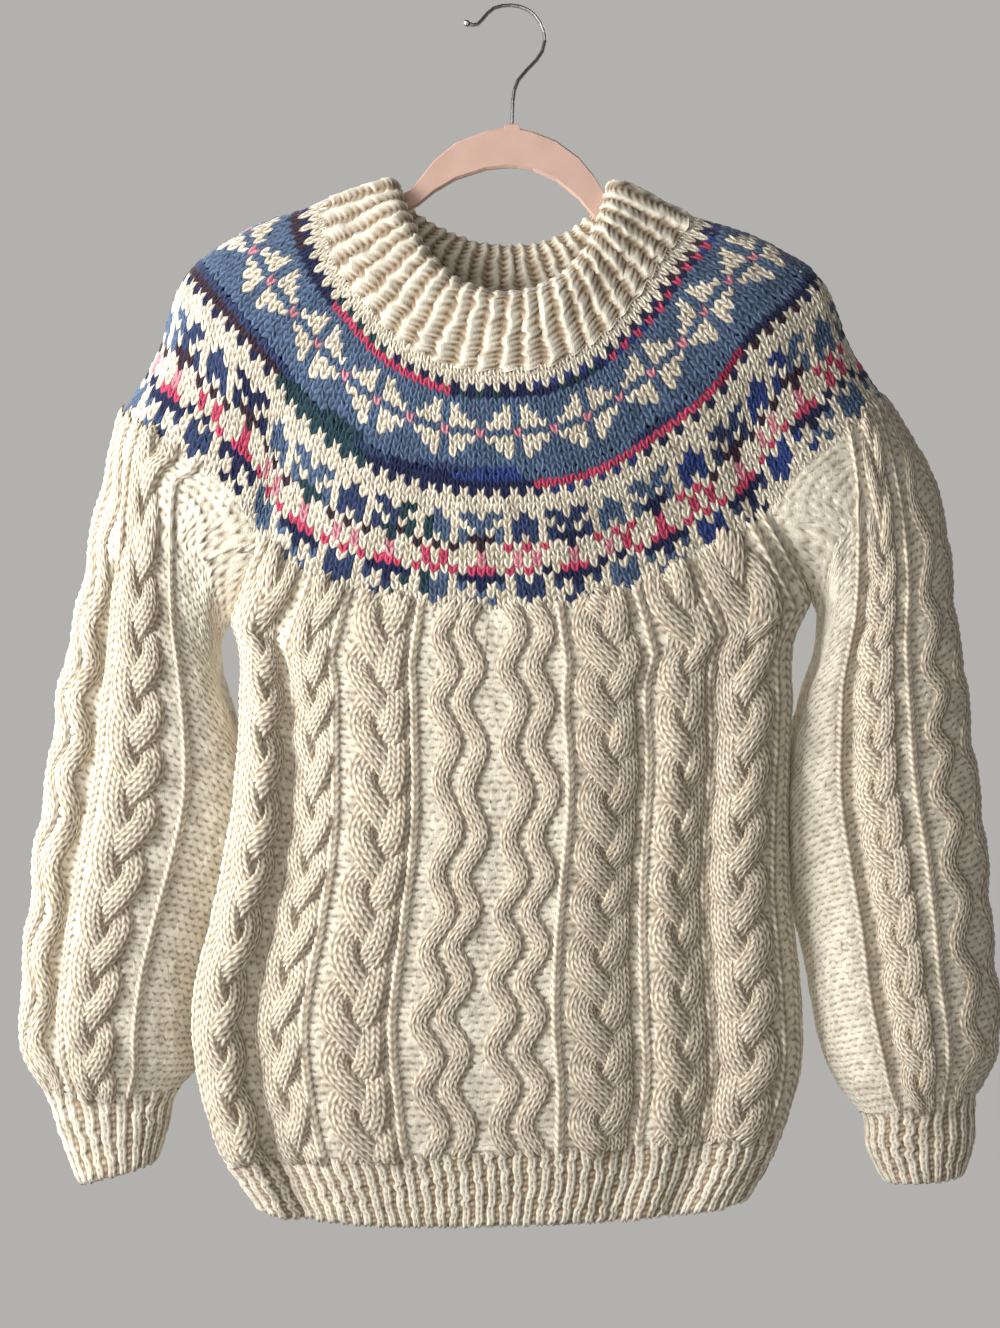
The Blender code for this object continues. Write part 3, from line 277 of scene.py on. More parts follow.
# Bumps: strength and height in metres
FIBRE_BUMP = (0.5, 0.0008)
FLOCK_BUMP = (0.4, 0.0004)
WIRE_BUMP = (0.15, 0.0002)
HANGER_PINK = (*linear(217, 182, 166), 1.0)
HANGER_WORN = (*linear(203, 168, 152), 1.0)
HANGER_SHEEN = (1.0, 0.86, 0.80, 1.0)
WIRE_DULL = (0.26, 0.26, 0.27, 1.0)
WIRE_BRIGHT = (0.48, 0.48, 0.48, 1.0)
FLOOR_TONE = (0.5, 0.49, 0.47, 1.0)
YARNS = {
    "C": linear(239, 231, 212),  # cream
    "B": linear(88, 110, 140),  # denim
    "D": linear(52, 68, 108),  # dark denim
    "N": linear(26, 36, 78),  # navy
    "U": linear(46, 66, 132),  # royal
    "G": linear(34, 66, 76),  # dark green
    "M": linear(58, 36, 52),  # maroon
    "P": linear(226, 150, 166),  # light pink
    "R": linear(206, 74, 110),  # pink red
    "S": linear(160, 38, 72),  # dark red
}
# Dyed yarns: runs of colour and where each ends in the round, from the left shoulder
RUNS = {
    "1": "M 0.05 N 0.105 R 0.229 G 0.28 N 0.31 G 0.36 U 0.42 N 0.48 U 0.54 M 0.6 G 0.7 N 0.78 "
         "R 0.9 N",
    "2": "M 0.1 G 0.17 N 0.287 R 0.42 S 0.45 N 0.55 G 0.66 N 0.76 R 0.9 M",
    "3": "B 0.03 D 0.07 N 0.1 B 0.16 D 0.2 G 0.225 B 0.27 D 0.33 B 0.38 U 0.4 D 0.44 U 0.47 "
         "B 0.55 D 0.62 B 0.7 G 0.74 D 0.8 B 0.88 U 0.92 D",
    "4": "M 0.12 G 0.2 M 0.3 N 0.4 M 0.55 G 0.7 M",
    "5": "P 0.05 R 0.1 P 0.2 R 0.24 P 0.34 R 0.4 P 0.48 R 0.55 P 0.7 R 0.8 P",
    "6": "N 0.1 G 0.17 N 0.3 U 0.36 N 0.45 M 0.5 N 0.7 G 0.8 N",
    "7": "D 0.11 G 0.16 D 0.19 N 0.235 U 0.285 B 0.36 D 0.40 B 0.6 D 0.7 B",
    "8": "B 0.14 G 0.17 B 0.21 D 0.25 U 0.275 B",
    "9": "M 0.05 N 0.105 R 0.229 N 0.36 R 0.5 N 0.78 R 0.9 N",
    "E": "M 0.26 R 0.4 M 0.46 R 0.55 M",
    "L": "N 0.06 R 0.285 N 0.34 R 0.46 N 0.6 R",
}
# Colourwork of the yoke, a letter a stitch and a line a row, lowest row last
UPPER_CHART = """
CCCCCCCC
CCCCCCCC
C6C6C6C6
19191919
BBBBBBBB
BBBCBCBB
BBCCBCCB
BCCCBCCC
PBBBPBBB
BCCCBCCC
BBCCBCCB
BBBCBCBB
BBBBBBBB
88888888
""".split()
LOWER_CHART = """
7777777777
2222222222
C6C6C6C6C6
CCCCCCCCCC
CCCCCCCCCC
C33CC3CC33
33CC333CC3
3C3C333C3C
443C3C3C34
4CCECECECC
5CCC5C5CCC
5CCC5C5CCC
RRCLCLCLCR
NNNC3C3CNN
NC3C333C3C
3CCC333CCC
C3CCC3CCC3
CCCCCCCCCC
""".split()
YOKE_REPEATS = 18
YOKE_CENTRE = 0.518  # share of the front at which a repeat is centred
YOKE_RELIEF = 1.4
YOKE_LAP = 3.0
CHART_LAP = 0.004  # share of the yoke's height by which its charts overlap

SEED = 7
UPRIGHT_FROM = 0.6  # the body's columns turn upright above this share of its height
UPRIGHT_OVER = 0.25
SLEEVE_UPRIGHT = 0.8  # a sleeve's front columns turn upright above this length share
BODY_FADE = 3  # powers by which the shift at an edge fades inwards
SLEEVE_FADE = 2
SHADE_PAINT_TO = 0.6  # from this share of the height up, the painted shade on the purl fades out
EVEN_FROM = 0.4  # stitches even out round a sleeve above this length share
GRID = 240  # lines of a piece's smooth ground each way
YOKE_FRONT = 9.57 / YOKE_REPEATS  # share of the yoke's round that lies in front
TUBE_WALL = 3.0
TUBE_ROWS = 40
TUBE_INSIDE = slice(2, 30)  # rows of a tube that go up inside it
PURL_WIDE = 6.8
PURL_HIGH = 5.5
STITCH_HIGH = 5.8
KNIT_LEAN = 0.6
LUMP = 0.35
# Wave lengths and bends of the lumps, unrelated so that they don't repeat
LUMP_COARSE = (11.0, 23.0, 1.7, 14.0, 9.0)
LUMP_FINE = (5.3, 17.0, 6.1, 31.0, 2.0)
PURL_WAVE = 0.07
PURL_RELIEF = 1.8
WANDER = 0.12
UNEVEN = 0.20
TONE = (0.90, 1.06)
LAP = 5.0  # how far a panel runs on under its neighbour
DIVE = 0.5
BODY_WIDE = 435.0
RIM = 0.4999  # points at an edge lie further than this from the middle
STRAND_RELIEF = 1.1
CABLE_RISE = 6.5
CABLE_DOME = 0.65
CABLE_TUCK = 1.2
CABLE_PITCH = 39.0  # from one crossing to the next on the same side
CABLE_GLOOM = 0.45  # brightness that painted shade leaves on the purl under a cable's middle
GLOOM_FROM = 0.6  # share of a cable's half width at which the painted shade starts to lighten
GLOOM_OVER = 0.5
PLAIT_MIDDLE = 0.62  # height of a strand at the middle and the edges of its cable
PLAIT_LONGER = 1.15  # a strand is so much longer than the cable
PLAIT_STRAY = 0.08
PLAIT_STRAY_OVER = 31.0
STRAND_SHARE = 0.5  # of a cable's width
STRAND_EDGE = 0.8
STRAND_COLUMN = 6.2
STRAND_BOW = 3.0
STRAND_GLOOM = 0.45  # brightness that painted shade leaves along a strand's edges
# How far the crossings of a cable lie to the right of its middle
CABLES = {"cable": 0.0, "left cable": 0.24, "right cable": -0.18}
STRAIGHT_DOME = 0.8
STRAIGHT_DEEP = 1.0  # how far ribs and waves go under the ground at their ends
STRAIGHT_TUCK = 0.6
RIB = (1, 9.0, 3.0)  # columns of stitches, width and height
WAVE = (3, 15.5, 3.2)
WAVE_SWING = 5.5
WAVE_PERIOD = 55.0
WAVE_DRIFT = 0.7
WAVE_DRIFT_OVER = 47.0
RIB_LEAN = 0.4
RIB_ROW = 4.6
BAND_CREST = 0.23
BAND_LEAN = 0.3
BAND_RIBS = 48
BAND_FOOT = 0.03
BAND_RELIEF = 2.8
HEM_CREST = 0.36
HEM_RIBS = 82
CUFF_RIBS = 22
HEM_RELIEF = 2.2

WALL_TONE = (0.45, 0.44, 0.42, 1.0)
ROOM_TONE = (0.11, 0.107, 0.102, 1.0)
WALL_FADE = (-0.2, 0.6)  # a direction's y from which, and to which, room turns to wall
FLOOR_CORNERS = 96
FLOOR_RADIUS = 1.9
FLOOR_LEVEL = -1.75
LIGHT_AIM = (0.0, 0.0, -0.45)
LIGHTS = (
    ("key_light", (-1.36, -0.7, -0.15), 0.8, 41.0),
    ("fill_light", (-0.6, -2.0, -0.2), 1.6, 11.0),
    ("back_light", (0.6, 1.8, 0.3), 1.6, 16.0),
)
CAMERA_LENS = 48.95
CAMERA_PLACE = (-0.00807, -1.325, -0.482)


def spline(table, at):
    """Smooth curve through a table whose first column is the knot."""
    table = np.asarray(table, float)
    knots, values = table[:, 0], table[:, 1:]
    slopes = np.gradient(values, knots, axis=0)
    at = np.clip(np.asarray(at, float), knots[0], knots[-1])
    low = np.clip(np.searchsorted(knots, at, side="right") - 1, 0, len(knots) - 2)
    step = (knots[low + 1] - knots[low])[..., None]
    t = (at - knots[low])[..., None] / step
    return (
        values[low] * (2 * t**3 - 3 * t**2 + 1)
        + slopes[low] * step * (t**3 - 2 * t**2 + t)
        + values[low + 1] * (3 * t**2 - 2 * t**3)
        + slopes[low + 1] * step * (t**3 - t**2)
    )


def steps(line, closed=False):
    """Lengths from point to point of a line."""
    run = np.concatenate((line, line[:1])) if closed else line
    return np.linalg.norm(np.diff(run, axis=0), axis=1)


def reach(line, closed=False):
    """Share of a line's length at which each of its points lies."""
    lengths = np.concatenate(([0.0], np.cumsum(steps(line, closed))))
    return lengths / lengths[-1]


def along(points, share):
    """Point at a share of the length of a curve through a table of points."""
    points = np.asarray(points, float)
    return spline(np.column_stack((reach(points), points)), share)


def mix(start, end, share):
    start = np.asarray(start, float)
    return start + (end - start) * np.asarray(share, float)[..., None]


def ease(share):
    share = np.clip(share, 0.0, 1.0)
    return share * share * (3.0 - 2.0 * share)


def unit(vectors):
    return vectors / np.maximum(np.linalg.norm(vectors, axis=-1, keepdims=True), 1e-9)


def arch(share):
    return 4.0 * share * (1.0 - share)


def armhole_climb(rise):
    return np.clip((rise - UNDERARM) / (1.0 - UNDERARM), 0.0, 1.0)


def armhole(underarm, corner, climb, facing):
    """Seam between body and sleeve, from the underarm to a corner of the yoke."""
    line = mix(underarm, corner, climb)
    line[..., 1] += facing * ARMHOLE_BOW * arch(climb)
    return line


def side_line(table, corner, rise):
    """Side fold of the body up to the underarm, then straight to a yoke corner."""
    fold = spline(table, np.minimum(rise, UNDERARM))
    line = mix(fold, corner, armhole_climb(rise))
    line[..., 1] = fold[..., 1]
    return line


def body_surface(across, rise, seam, profile, facing):
    """Ground of the front (facing -1) or back (facing 1) of the body."""
    left = side_line(LEFT_SIDE, seam[0], rise)
    right = side_line(RIGHT_SIDE, seam[-1], rise)
    chord = mix(left, right, across)
    drape = spline(BODY_DRAPE, rise)
    depth = spline(profile, across)[..., 0] * drape[..., 0 if facing < 0 else 1]
    moved = ease((rise - DRAPE_FROM) / (1.0 - DRAPE_FROM))
    settled = ease((rise - SETTLE_FROM) / (1.0 - SETTLE_FROM))
    climb = armhole_climb(rise)
    inner = ease(np.minimum(across, 1.0 - across) / ARMHOLE_BESIDE)
    taken = climb + (settled - climb) * inner
    bow = ARMHOLE_BOW * arch(climb) * (1.0 - inner)
    at_seam = along(seam, across)
    dip = at_seam - mix(seam[0], seam[-1], across)
    droop = drape[..., 2] * (1.0 - np.abs(2.0 * across - 1.0) ** DROOP_POWER)
    level = chord[..., 1] + facing * depth
    return np.stack((
        chord[..., 0] + dip[..., 0] * moved,
        level + (at_seam[..., 1] - level) * taken + facing * bow,
        chord[..., 2] + dip[..., 2] * drape[..., 3] - droop,
    ), axis=-1)


def sleeve_surface(turn, length, outer, inner, arc, facing, groove=None):
    """Ground of the front or back half of a sleeve; turn 0 is its outer fold."""
    far, near = spline(outer, length), spline(inner, length)
    inward = (1.0 - np.cos(np.pi * turn)) / 2.0
    chord = mix(far, near, inward)
    depths = spline(SLEEVE_DEPTH, length)[..., 0 if facing < 0 else 1]
    depth = depths * np.sin(np.pi * turn) ** SLEEVE_ROUND
    if groove:
        place, deep, half = groove
        ends = ease(length / GROOVE_ENDS[0]) * ease((1.0 - length) / GROOVE_ENDS[1])
        depth = depth - deep * ends * np.exp(-(((turn - place) / half) ** 2))
    on_arc = along(arc, np.minimum(turn / EDGE_END, 1.0))
    climb = np.clip((1.0 - turn) / (1.0 - EDGE_END), 0.0, 1.0)
    on_armhole = armhole(inner[0][1:], arc[-1], climb, facing)
    top = np.where((turn <= EDGE_END)[..., None], on_arc, on_armhole)
    dip = top - mix(spline(outer, 0.0), spline(inner, 0.0), inward)
    quick = 1.0 - ease(length / SLEEVE_SETTLE)
    slow = np.clip(1.0 - length, 0.0, 1.0)
    fade = SLOW_FALL + (FAST_FALL - SLOW_FALL) * ease(turn / EDGE_END)
    shift = np.stack((
        dip[..., 0] * (1.0 - ease(length / fade)),
        dip[..., 1] * quick + facing * depth * (1.0 - quick),
        dip[..., 2] * slow,
    ), axis=-1)
    return chord + shift


# ---- ground of each piece
class Ground:
    """A dense grid of points on a piece's smooth surface, read at any place on it."""

    def __init__(self, points, closed):
        self.closed = closed
        if closed:
            across = np.roll(points, -1, axis=1) - np.roll(points, 1, axis=1)
        else:
            across = np.gradient(points, axis=1)
        up = np.gradient(points, axis=0)
        self.normals = unit(np.cross(across, up))
        self.points = points + self.normals * lumps(points)[..., None]
        self.wide = steps(points[len(points) // 2], closed).sum()
        self.high = steps(points[:, points.shape[1] // 2]).sum()

    def at(self, u, v):
        """Points and normals at shares u across and v up; both may run past the edge."""
        rows, columns = self.points.shape[:2]
        x = np.asarray(u) * (columns if self.closed else columns - 1)
        y = np.asarray(v) * (rows - 1)
        row = np.clip(np.floor(y).astype(int), 0, rows - 2)
        column = np.floor(x).astype(int)
        if not self.closed:
            column = np.clip(column, 0, columns - 2)
        left, right = column % columns, (column + 1) % columns
        fx, fy = (x - column)[..., None], (y - row)[..., None]
        found = []
        for values in (self.points, self.normals):
            low = values[row, left] * (1 - fx) + values[row, right] * fx
            top = values[row + 1, left] * (1 - fx) + values[row + 1, right] * fx
            found.append(low * (1 - fy) + top * fy)
        return found[0], unit(found[1])


def lumps(points):
    """Slow unevenness of hand knitting, in mm along the surface's normals."""
    x, y, z = np.moveaxis(points, -1, 0)
    a, b, bend, c, d = LUMP_COARSE
    coarse = np.sin(x / a + bend * np.sin(z / b)) * np.sin(z / c + y / d)
    a, b, c, d, bend = LUMP_FINE
    fine = np.sin(x / a - z / b) * np.sin(z / c + bend * np.sin(x / d))
    return LUMP * (coarse + fine)


def even_places(line, count, closed=False):
    """Places along a dense line of points that lie evenly on its length."""
    shares = reach(line, closed)
    wanted = np.linspace(0.0, 1.0, count, endpoint=not closed)
    return np.interp(wanted, shares, np.linspace(0.0, 1.0, len(shares)))


def x_share(line, middle):
    """How far across in x each point of a line lies, from 0 to 1 over the middle line."""
    x = (line[:, 0] - middle[0, 0]) / (middle[-1, 0] - middle[0, 0])
    return np.maximum.accumulate(x)


def row_of(surface, places, level):
    return surface(places, np.full(len(places), level))


def upright(line, middle, wanted, places, power):
    """Places on a line straight above the wanted ones on the middle line.

    Where the line's ends lie further in or out than the middle's, its places follow them.
    """
    found = x_share(line, middle)
    aim = wanted + found[0] * (1.0 - wanted) ** power + (found[-1] - 1.0) * wanted**power
    return np.interp(aim, found, places)


def body_ground(seam, profile, facing):
    """Front or back of the body; u runs left to right as seen from outside."""
    def surface(share, rise):
        across = share if facing < 0 else 1.0 - share
        return body_surface(across, rise, seam, profile, facing)

    dense = np.linspace(0.0, 1.0, 4 * GRID)
    middle = row_of(surface, dense, 0.5)
    places = even_places(middle, GRID)
    wanted = np.interp(places, dense, x_share(middle, middle))
    across, up = np.meshgrid(places, np.linspace(0.0, 1.0, GRID))
    for row, rise in zip(across, up[:, 0]):
        above = upright(row_of(surface, dense, rise), middle, wanted, dense, BODY_FADE)
        row += (above - row) * ease((rise - UPRIGHT_FROM) / UPRIGHT_OVER)
    made = Ground(surface(across, up), False)
    made.evened = made
    made.places = places
    return made


def sleeve_ground(folds, arcs, groove, outer_first):
    """Surface round a sleeve from cuff to yoke: g is 0 to 1 in front and 1 to 2 behind."""
    def surface(g, length):
        g = np.asarray(g, float) % 2.0
        turn = np.where(g < 1.0, g, 2.0 - g)
        if not outer_first:
            turn = 1.0 - turn
        ahead = sleeve_surface(turn, length, *folds, arcs[0], -1, groove)
        behind = sleeve_surface(turn, length, *folds, arcs[1], 1)
        return np.where((g < 1.0)[..., None], ahead, behind)

    dense = np.linspace(0.0, 2.0, 4 * GRID, endpoint=False)
    places = even_places(row_of(surface, dense, 0.5), GRID, True) * 2.0
    around, down = np.meshgrid(places, np.linspace(1.0, 0.0, GRID))
    evened = around.copy()
    ahead = places < 1.0
    half = np.linspace(0.0, 1.0, 2 * GRID, endpoint=False)
    middle = row_of(surface, half, 0.5)
    wanted = np.interp(places[ahead], half, x_share(middle, middle))
    for row, length in zip(around, down[:, 0]):
        above = upright(row_of(surface, half, length), middle, wanted, half, SLEEVE_FADE)
        row[ahead] += (above - row[ahead]) * ease((SLEEVE_UPRIGHT - length) / SLEEVE_UPRIGHT)
    made = Ground(surface(around, down), True)
    for row, length in zip(evened, down[:, 0]):
        even = even_places(row_of(surface, dense, length), GRID, True) * 2.0
        row += (even - row) * ease((EVEN_FROM - length) / EVEN_FROM)
    made.evened = Ground(surface(evened, down), True)
    made.places = places
    made.surface = surface
    return made


def round_line(place, front, back):
    """Points at places in the yoke's round on a line over the front and one over the back."""
    ahead = place < YOKE_FRONT
    behind = 1.0 - (place - YOKE_FRONT) / (1.0 - YOKE_FRONT)
    share = np.where(ahead, place / YOKE_FRONT, behind)
    return np.where(ahead[:, None], along(front, share), along(back, share))


def yoke_ground():
    """The yoke from its lower edge to the neckband's foot."""
    front = LEFT_ARC_FRONT + FRONT_SEAM[1:] + RIGHT_ARC_FRONT[-2::-1]
    back = LEFT_ARC_BACK + BACK_SEAM[1:] + RIGHT_ARC_BACK[-2::-1]
    place = np.linspace(0.0, 1.0, 2 * GRID, endpoint=False)
    ahead = (place < YOKE_FRONT)[:, None]
    seam = round_line(place, front, back)
    neck = round_line(place, NECK_FRONT, NECK_BACK)
    middle = (seam[:, 0].min() + seam[:, 0].max()) / 2.0
    side = (seam[:, 0] - middle) / (seam[:, 0].max() - middle)
    shoulder = ease((np.abs(side) - SHOULDER_FROM) / (1.0 - SHOULDER_FROM))
    swell = shoulder[:, None] * np.where((side < 0.0)[:, None], LEFT_ROUND, RIGHT_ROUND)
    swell = swell + (1.0 - side**CHEST_POWER)[:, None] * np.where(ahead, CHEST_ROUND, BLADE_ROUND)
    rows = [
        seam + (neck - seam) * share + swell * spline(SHOULDER_ROUND, share)
        for share in np.linspace(0.0, 1.0, GRID // 2)
    ]
    return Ground(np.stack(rows), True)


def band_ground():
    """The folded neckband: v runs from its outer foot over the fold to its inner foot."""
    place = np.linspace(0.0, 1.0, 2 * GRID, endpoint=False)
    neck = round_line(place, NECK_FRONT, NECK_BACK)
    top = round_line(place, BAND_TOP_FRONT, BAND_TOP_BACK)
    tangent = np.roll(top, -1, axis=0) - np.roll(top, 1, axis=0)
    outward = unit(np.cross(tangent, top - neck))
    rise = unit(top - neck)
    outer_top = top + outward * BAND_WALL / 2.0
    inner_top = top - outward * BAND_WALL / 2.0
    inner_foot = neck - outward * BAND_WALL
    profile = (
        neck,
        mix(neck, outer_top, BAND_MIDDLE) + outward * BAND_SWELL,
        outer_top,
        top + rise * BAND_CROWN,
        inner_top,
        mix(inner_foot, inner_top, BAND_MIDDLE),
        inner_foot,
    )
    table = np.column_stack((BAND_KNOTS, [points.reshape(-1) for points in profile]))
    rows = spline(table, np.linspace(0.0, 1.0, GRID)).reshape(GRID, len(neck), 3)
    return Ground(rows, True)


def folded_tube(rows):
    """A tube's rows, top to edge, made to turn in at the edge and go up inside."""
    out = Ground(rows[::-1], True)
    inner = rows[::-1] - out.normals * TUBE_WALL
    edge = (rows[-1] + inner[0]) / 2.0 + unit(rows[-1] - rows[-2]) * TUBE_WALL / 2.0
    stack = np.concatenate((inner[TUBE_INSIDE][::-1], edge[None], rows[::-1][1:]))
    line = stack[:, stack.shape[1] // 4]
    places = even_places(line, GRID // 2) * (len(stack) - 1)
    low = np.minimum(places.astype(int), len(stack) - 2)
    share = (places - low)[:, None] * np.ones(stack.shape[1])
    return Ground(mix(stack[low], stack[low + 1], share), True)


def hem_ground():
    g = np.linspace(0.0, 2.0, 2 * GRID, endpoint=False)
    share = np.where(g < 1.0, g, 2.0 - g)
    rows = []
    for rise in np.linspace(0.0, HEM_END, TUBE_ROWS):
        level = np.full(len(g), rise)
        ahead = body_surface(share, level, FRONT_SEAM, FRONT_PROFILE, -1)
        behind = body_surface(share, level, BACK_SEAM, BACK_PROFILE, 1)
        rows.append(np.where((g < 1.0)[:, None], ahead, behind))
    return folded_tube(np.stack(rows))


def cuff_ground(surface):
    g = np.linspace(0.0, 2.0, GRID, endpoint=False)
    lengths = np.linspace(1.0, CUFF_END, TUBE_ROWS)
    return folded_tube(np.stack([row_of(surface, g, length) for length in lengths]))


# ---- stitches
def cell(across, high, lean):
    """A stitch's places across, heights and places up, for each of its lines of points."""
    high = np.array(high)
    across = np.broadcast_to(across, high.shape)
    return across, high, np.arange(len(high))[:, None] / len(high) + lean(across)


def v_lean(across):
    return KNIT_LEAN * np.abs(2.0 * across - 1.0)


def purl_wave(across):
    """Bumps of a row curve down, and those of the next row sit between them."""
    turn = np.array((1.0, 1.0, -1.0, -1.0))[:, None]
    return PURL_WAVE * turn * np.cos(2.0 * np.pi * across)


def rib_lean(across):
    """Legs of the rib's knit stitch slant, and the bars of its furrow lie level."""
    return BAND_LEAN * np.clip(np.abs(across - BAND_CREST) / BAND_CREST, 0.0, 2.0)


def hem_lean(across):
    return RIB_LEAN * np.clip(np.abs(across - HEM_CREST) / HEM_CREST, 0.0, 1.0)


# Two slanting legs to a knit stitch, with a dip between them and one under each
KNIT = cell(
    ((0.0, 0.20, 0.38, 0.5, 0.62, 0.80),
     (0.0, 0.15, 0.33, 0.5, 0.67, 0.85),
     (0.0, 0.10, 0.28, 0.5, 0.72, 0.90)),
    ((0.08, 0.32, 0.36, 0.10, 0.36, 0.32),
     (0.15, 0.85, 1.00, 0.28, 1.00, 0.85),
     (0.15, 1.00, 0.80, 0.10, 0.80, 1.00)),
    v_lean,
)
STRAND = cell(
    ((0.0, 0.27, 0.5, 0.73),
     (0.0, 0.21, 0.5, 0.79)),
    ((0.00, 0.34, 0.04, 0.34),
     (0.14, 1.00, 0.22, 1.00)),
    v_lean,
)
# Two rows of purl
PURL = cell(
    (0.0, 0.25, 0.5, 0.75),
    ((0.65, 0.40, 0.10, 0.40), (0.90, 1.00, 0.90, 1.00),
     (0.10, 0.40, 0.65, 0.40), (0.90, 1.00, 0.90, 1.00)),
    purl_wave,
)
BAND_RIB = cell(
    (0.0, 0.09, 0.20, 0.31, 0.42, 0.52, 0.64, 0.76, 0.88),
    ((0.34, 0.62, 0.90, 0.90, 0.78, 0.66, 0.54, 0.40, 0.24),
     (0.14, 0.40, 0.78, 0.78, 0.50, 0.30, 0.14, -0.12, 0.00)),
    rib_lean,
)
HEM_RIB = cell(
    (0.0, 0.10, 0.22, 0.36, 0.50, 0.62, 0.74, 0.87),
    ((0.15, 0.70, 1.00, 0.70, 1.00, 0.70, 0.20, 0.50),
     (0.00, 0.55, 0.85, 0.15, 0.85, 0.55, 0.04, 0.10)),
    hem_lean,
)


def spread(stitch, columns, rows, closed):
    """A stitch repeated over a piece: places across, places up and heights of its points."""
    lines, points = stitch[0].shape
    rim = ((0, 1), (0, 0 if closed else 1))
    across, high, up = (np.pad(np.tile(values, (rows, columns)), rim, "wrap") for values in stitch)
    across = across + np.arange(across.shape[1]) // points
    up = up + np.arange(len(up))[:, None] // lines
    return across, up, high


def add_object(name, data):
    made = bpy.data.objects.new(name, data)
    bpy.context.scene.collection.objects.link(made)
    return made


class Fabric:
    """Points, triangles, heights for painted shade and yarn colours of one knitted object."""

    def __init__(self, name):
        self.name = name
        self.points, self.heights, self.faces, self.colours = [], [], [], []
        self.count = 0
        self.chance = np.random.default_rng(SEED + sum(map(ord, name)))

    def add(self, points, heights, closed, stitch, rows, columns, yarn=CREAM):
        """Grids of points, each with so many rows and columns of one kind of stitch."""
        sheets = points.reshape(-1, *points.shape[-3:])
        index = np.arange(sheets.size // 3).reshape(sheets.shape[:3]) + self.count
        if closed:
            index = np.concatenate((index, index[:, :, :1]), axis=2)
        a, b = index[:, :-1, :-1], index[:, :-1, 1:]
        c, d = index[:, 1:, 1:], index[:, 1:, :-1]
        slant = np.diff(np.append(stitch[2][0], stitch[2][0][0])) >= 0.0
        lean = np.broadcast_to(np.tile(slant, columns), a.shape)
        first = np.stack((a, b, np.where(lean, c, d)), axis=-1)
        second = np.stack((np.where(lean, a, b), c, d), axis=-1)
        self.faces.append(np.stack((first, second), axis=-2).reshape(-1, 3))
        self.points.append(sheets.reshape(-1, 3))
        self.heights.append(np.broadcast_to(heights, points.shape[:-1]).reshape(-1))
        lines, cells = stitch[0].shape
        size = (len(sheets), rows, columns)
        tone = self.chance.uniform(*TONE, size=size)[..., None]
        colours = np.broadcast_to(yarn, (*size, 3)) * tone
        colours = np.repeat(np.repeat(colours, lines, axis=1), cells, axis=2)
        self.colours.append(np.repeat(colours.reshape(-1, 3), 2, axis=0))
        self.count += sheets.size // 3

    def make(self, node, look):
        """The finished object, which rides on the part's one body and stands for its node."""
        points = np.concatenate(self.points) * MM
        faces = np.concatenate(self.faces).astype(np.int32)
        mesh = bpy.data.meshes.new(self.name)
        mesh.vertices.add(len(points))
        mesh.vertices.foreach_set("co", points.astype(np.float32).ravel())
        mesh.loops.add(faces.size)
        mesh.loops.foreach_set("vertex_index", faces.ravel())
        mesh.polygons.add(len(faces))
        mesh.polygons.foreach_set("loop_start", np.arange(0, faces.size, 3, dtype=np.int32))
        mesh.polygons.foreach_set("use_smooth", np.ones(len(faces), bool))
        mesh.materials.append(look)
        mesh.update()
        # The "height" attribute: each point's share of its stitch's height, lowered under cables
        # and at strand edges; the wool paints shade where it is low
        height = mesh.attributes.new("height", "FLOAT", "POINT")
        height.data.foreach_set("value", np.concatenate(self.heights).astype(np.float32))
        colours = np.repeat(np.concatenate(self.colours), 3, axis=0)
        colours = np.column_stack((colours, np.ones(len(colours))))
        yarn = mesh.attributes.new("yarn", "FLOAT_COLOR", "CORNER")
        yarn.data.foreach_set("color", colours.astype(np.float32).ravel())
        made = add_object(self.name, mesh)
        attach(made, "root")
        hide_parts(node)
        return made


def stitched(fabric, ground, stitch, columns, rows, relief, ends, yarn=CREAM, shade_paint=None,
             dive=0.0):
    """One kind of stitch over a ground; rows past the ground's ends dive under its neighbour."""
    across, up, high = spread(stitch, columns, rows, ground.closed)
    chances = fabric.chance.uniform(-1.0, 1.0, (3, rows, columns))
    wander = np.kron(chances, np.ones(stitch[0].shape))
    inside = (slice(wander.shape[1]), slice(wander.shape[2]))
    u, v, rise = across.copy(), up.copy(), high.copy()
    u[inside] += WANDER * wander[0]
    v[inside] += WANDER * wander[1]
    rise[inside] *= 1.0 - UNEVEN * (1.0 + wander[2])
    u = u / columns
    v = ends[0] + (ends[1] - ends[0]) * v / rows
    if not ground.closed:
        u = np.where(np.abs(across / columns - 0.5) > RIM, across / columns, u)
    sunk = dive * ground.high * np.clip(np.maximum(v - 1.0, -v), 0.0, None)
    places, normals = ground.at(u, v)
    places = places + normals * (rise * relief - sunk)[..., None]
    # Painted shade: under and between cables the purl's heights are lowered, so the wool darkens
    # there
    if shade_paint is not None:
        rise = rise * shade_paint(u, v)
    fabric.add(places, rise, ground.closed, stitch, rows, columns, yarn)


def strand_points(ground, strands, longer=1.0):
    """Heights in mm of the points of one or more strands, from below a piece to above it."""
    rows = int(round((ground.high + 2.0 * LAP) * longer / STITCH_HIGH))
    return np.tile(np.linspace(-LAP, ground.high + LAP, 2 * rows + 1), (strands, 1))


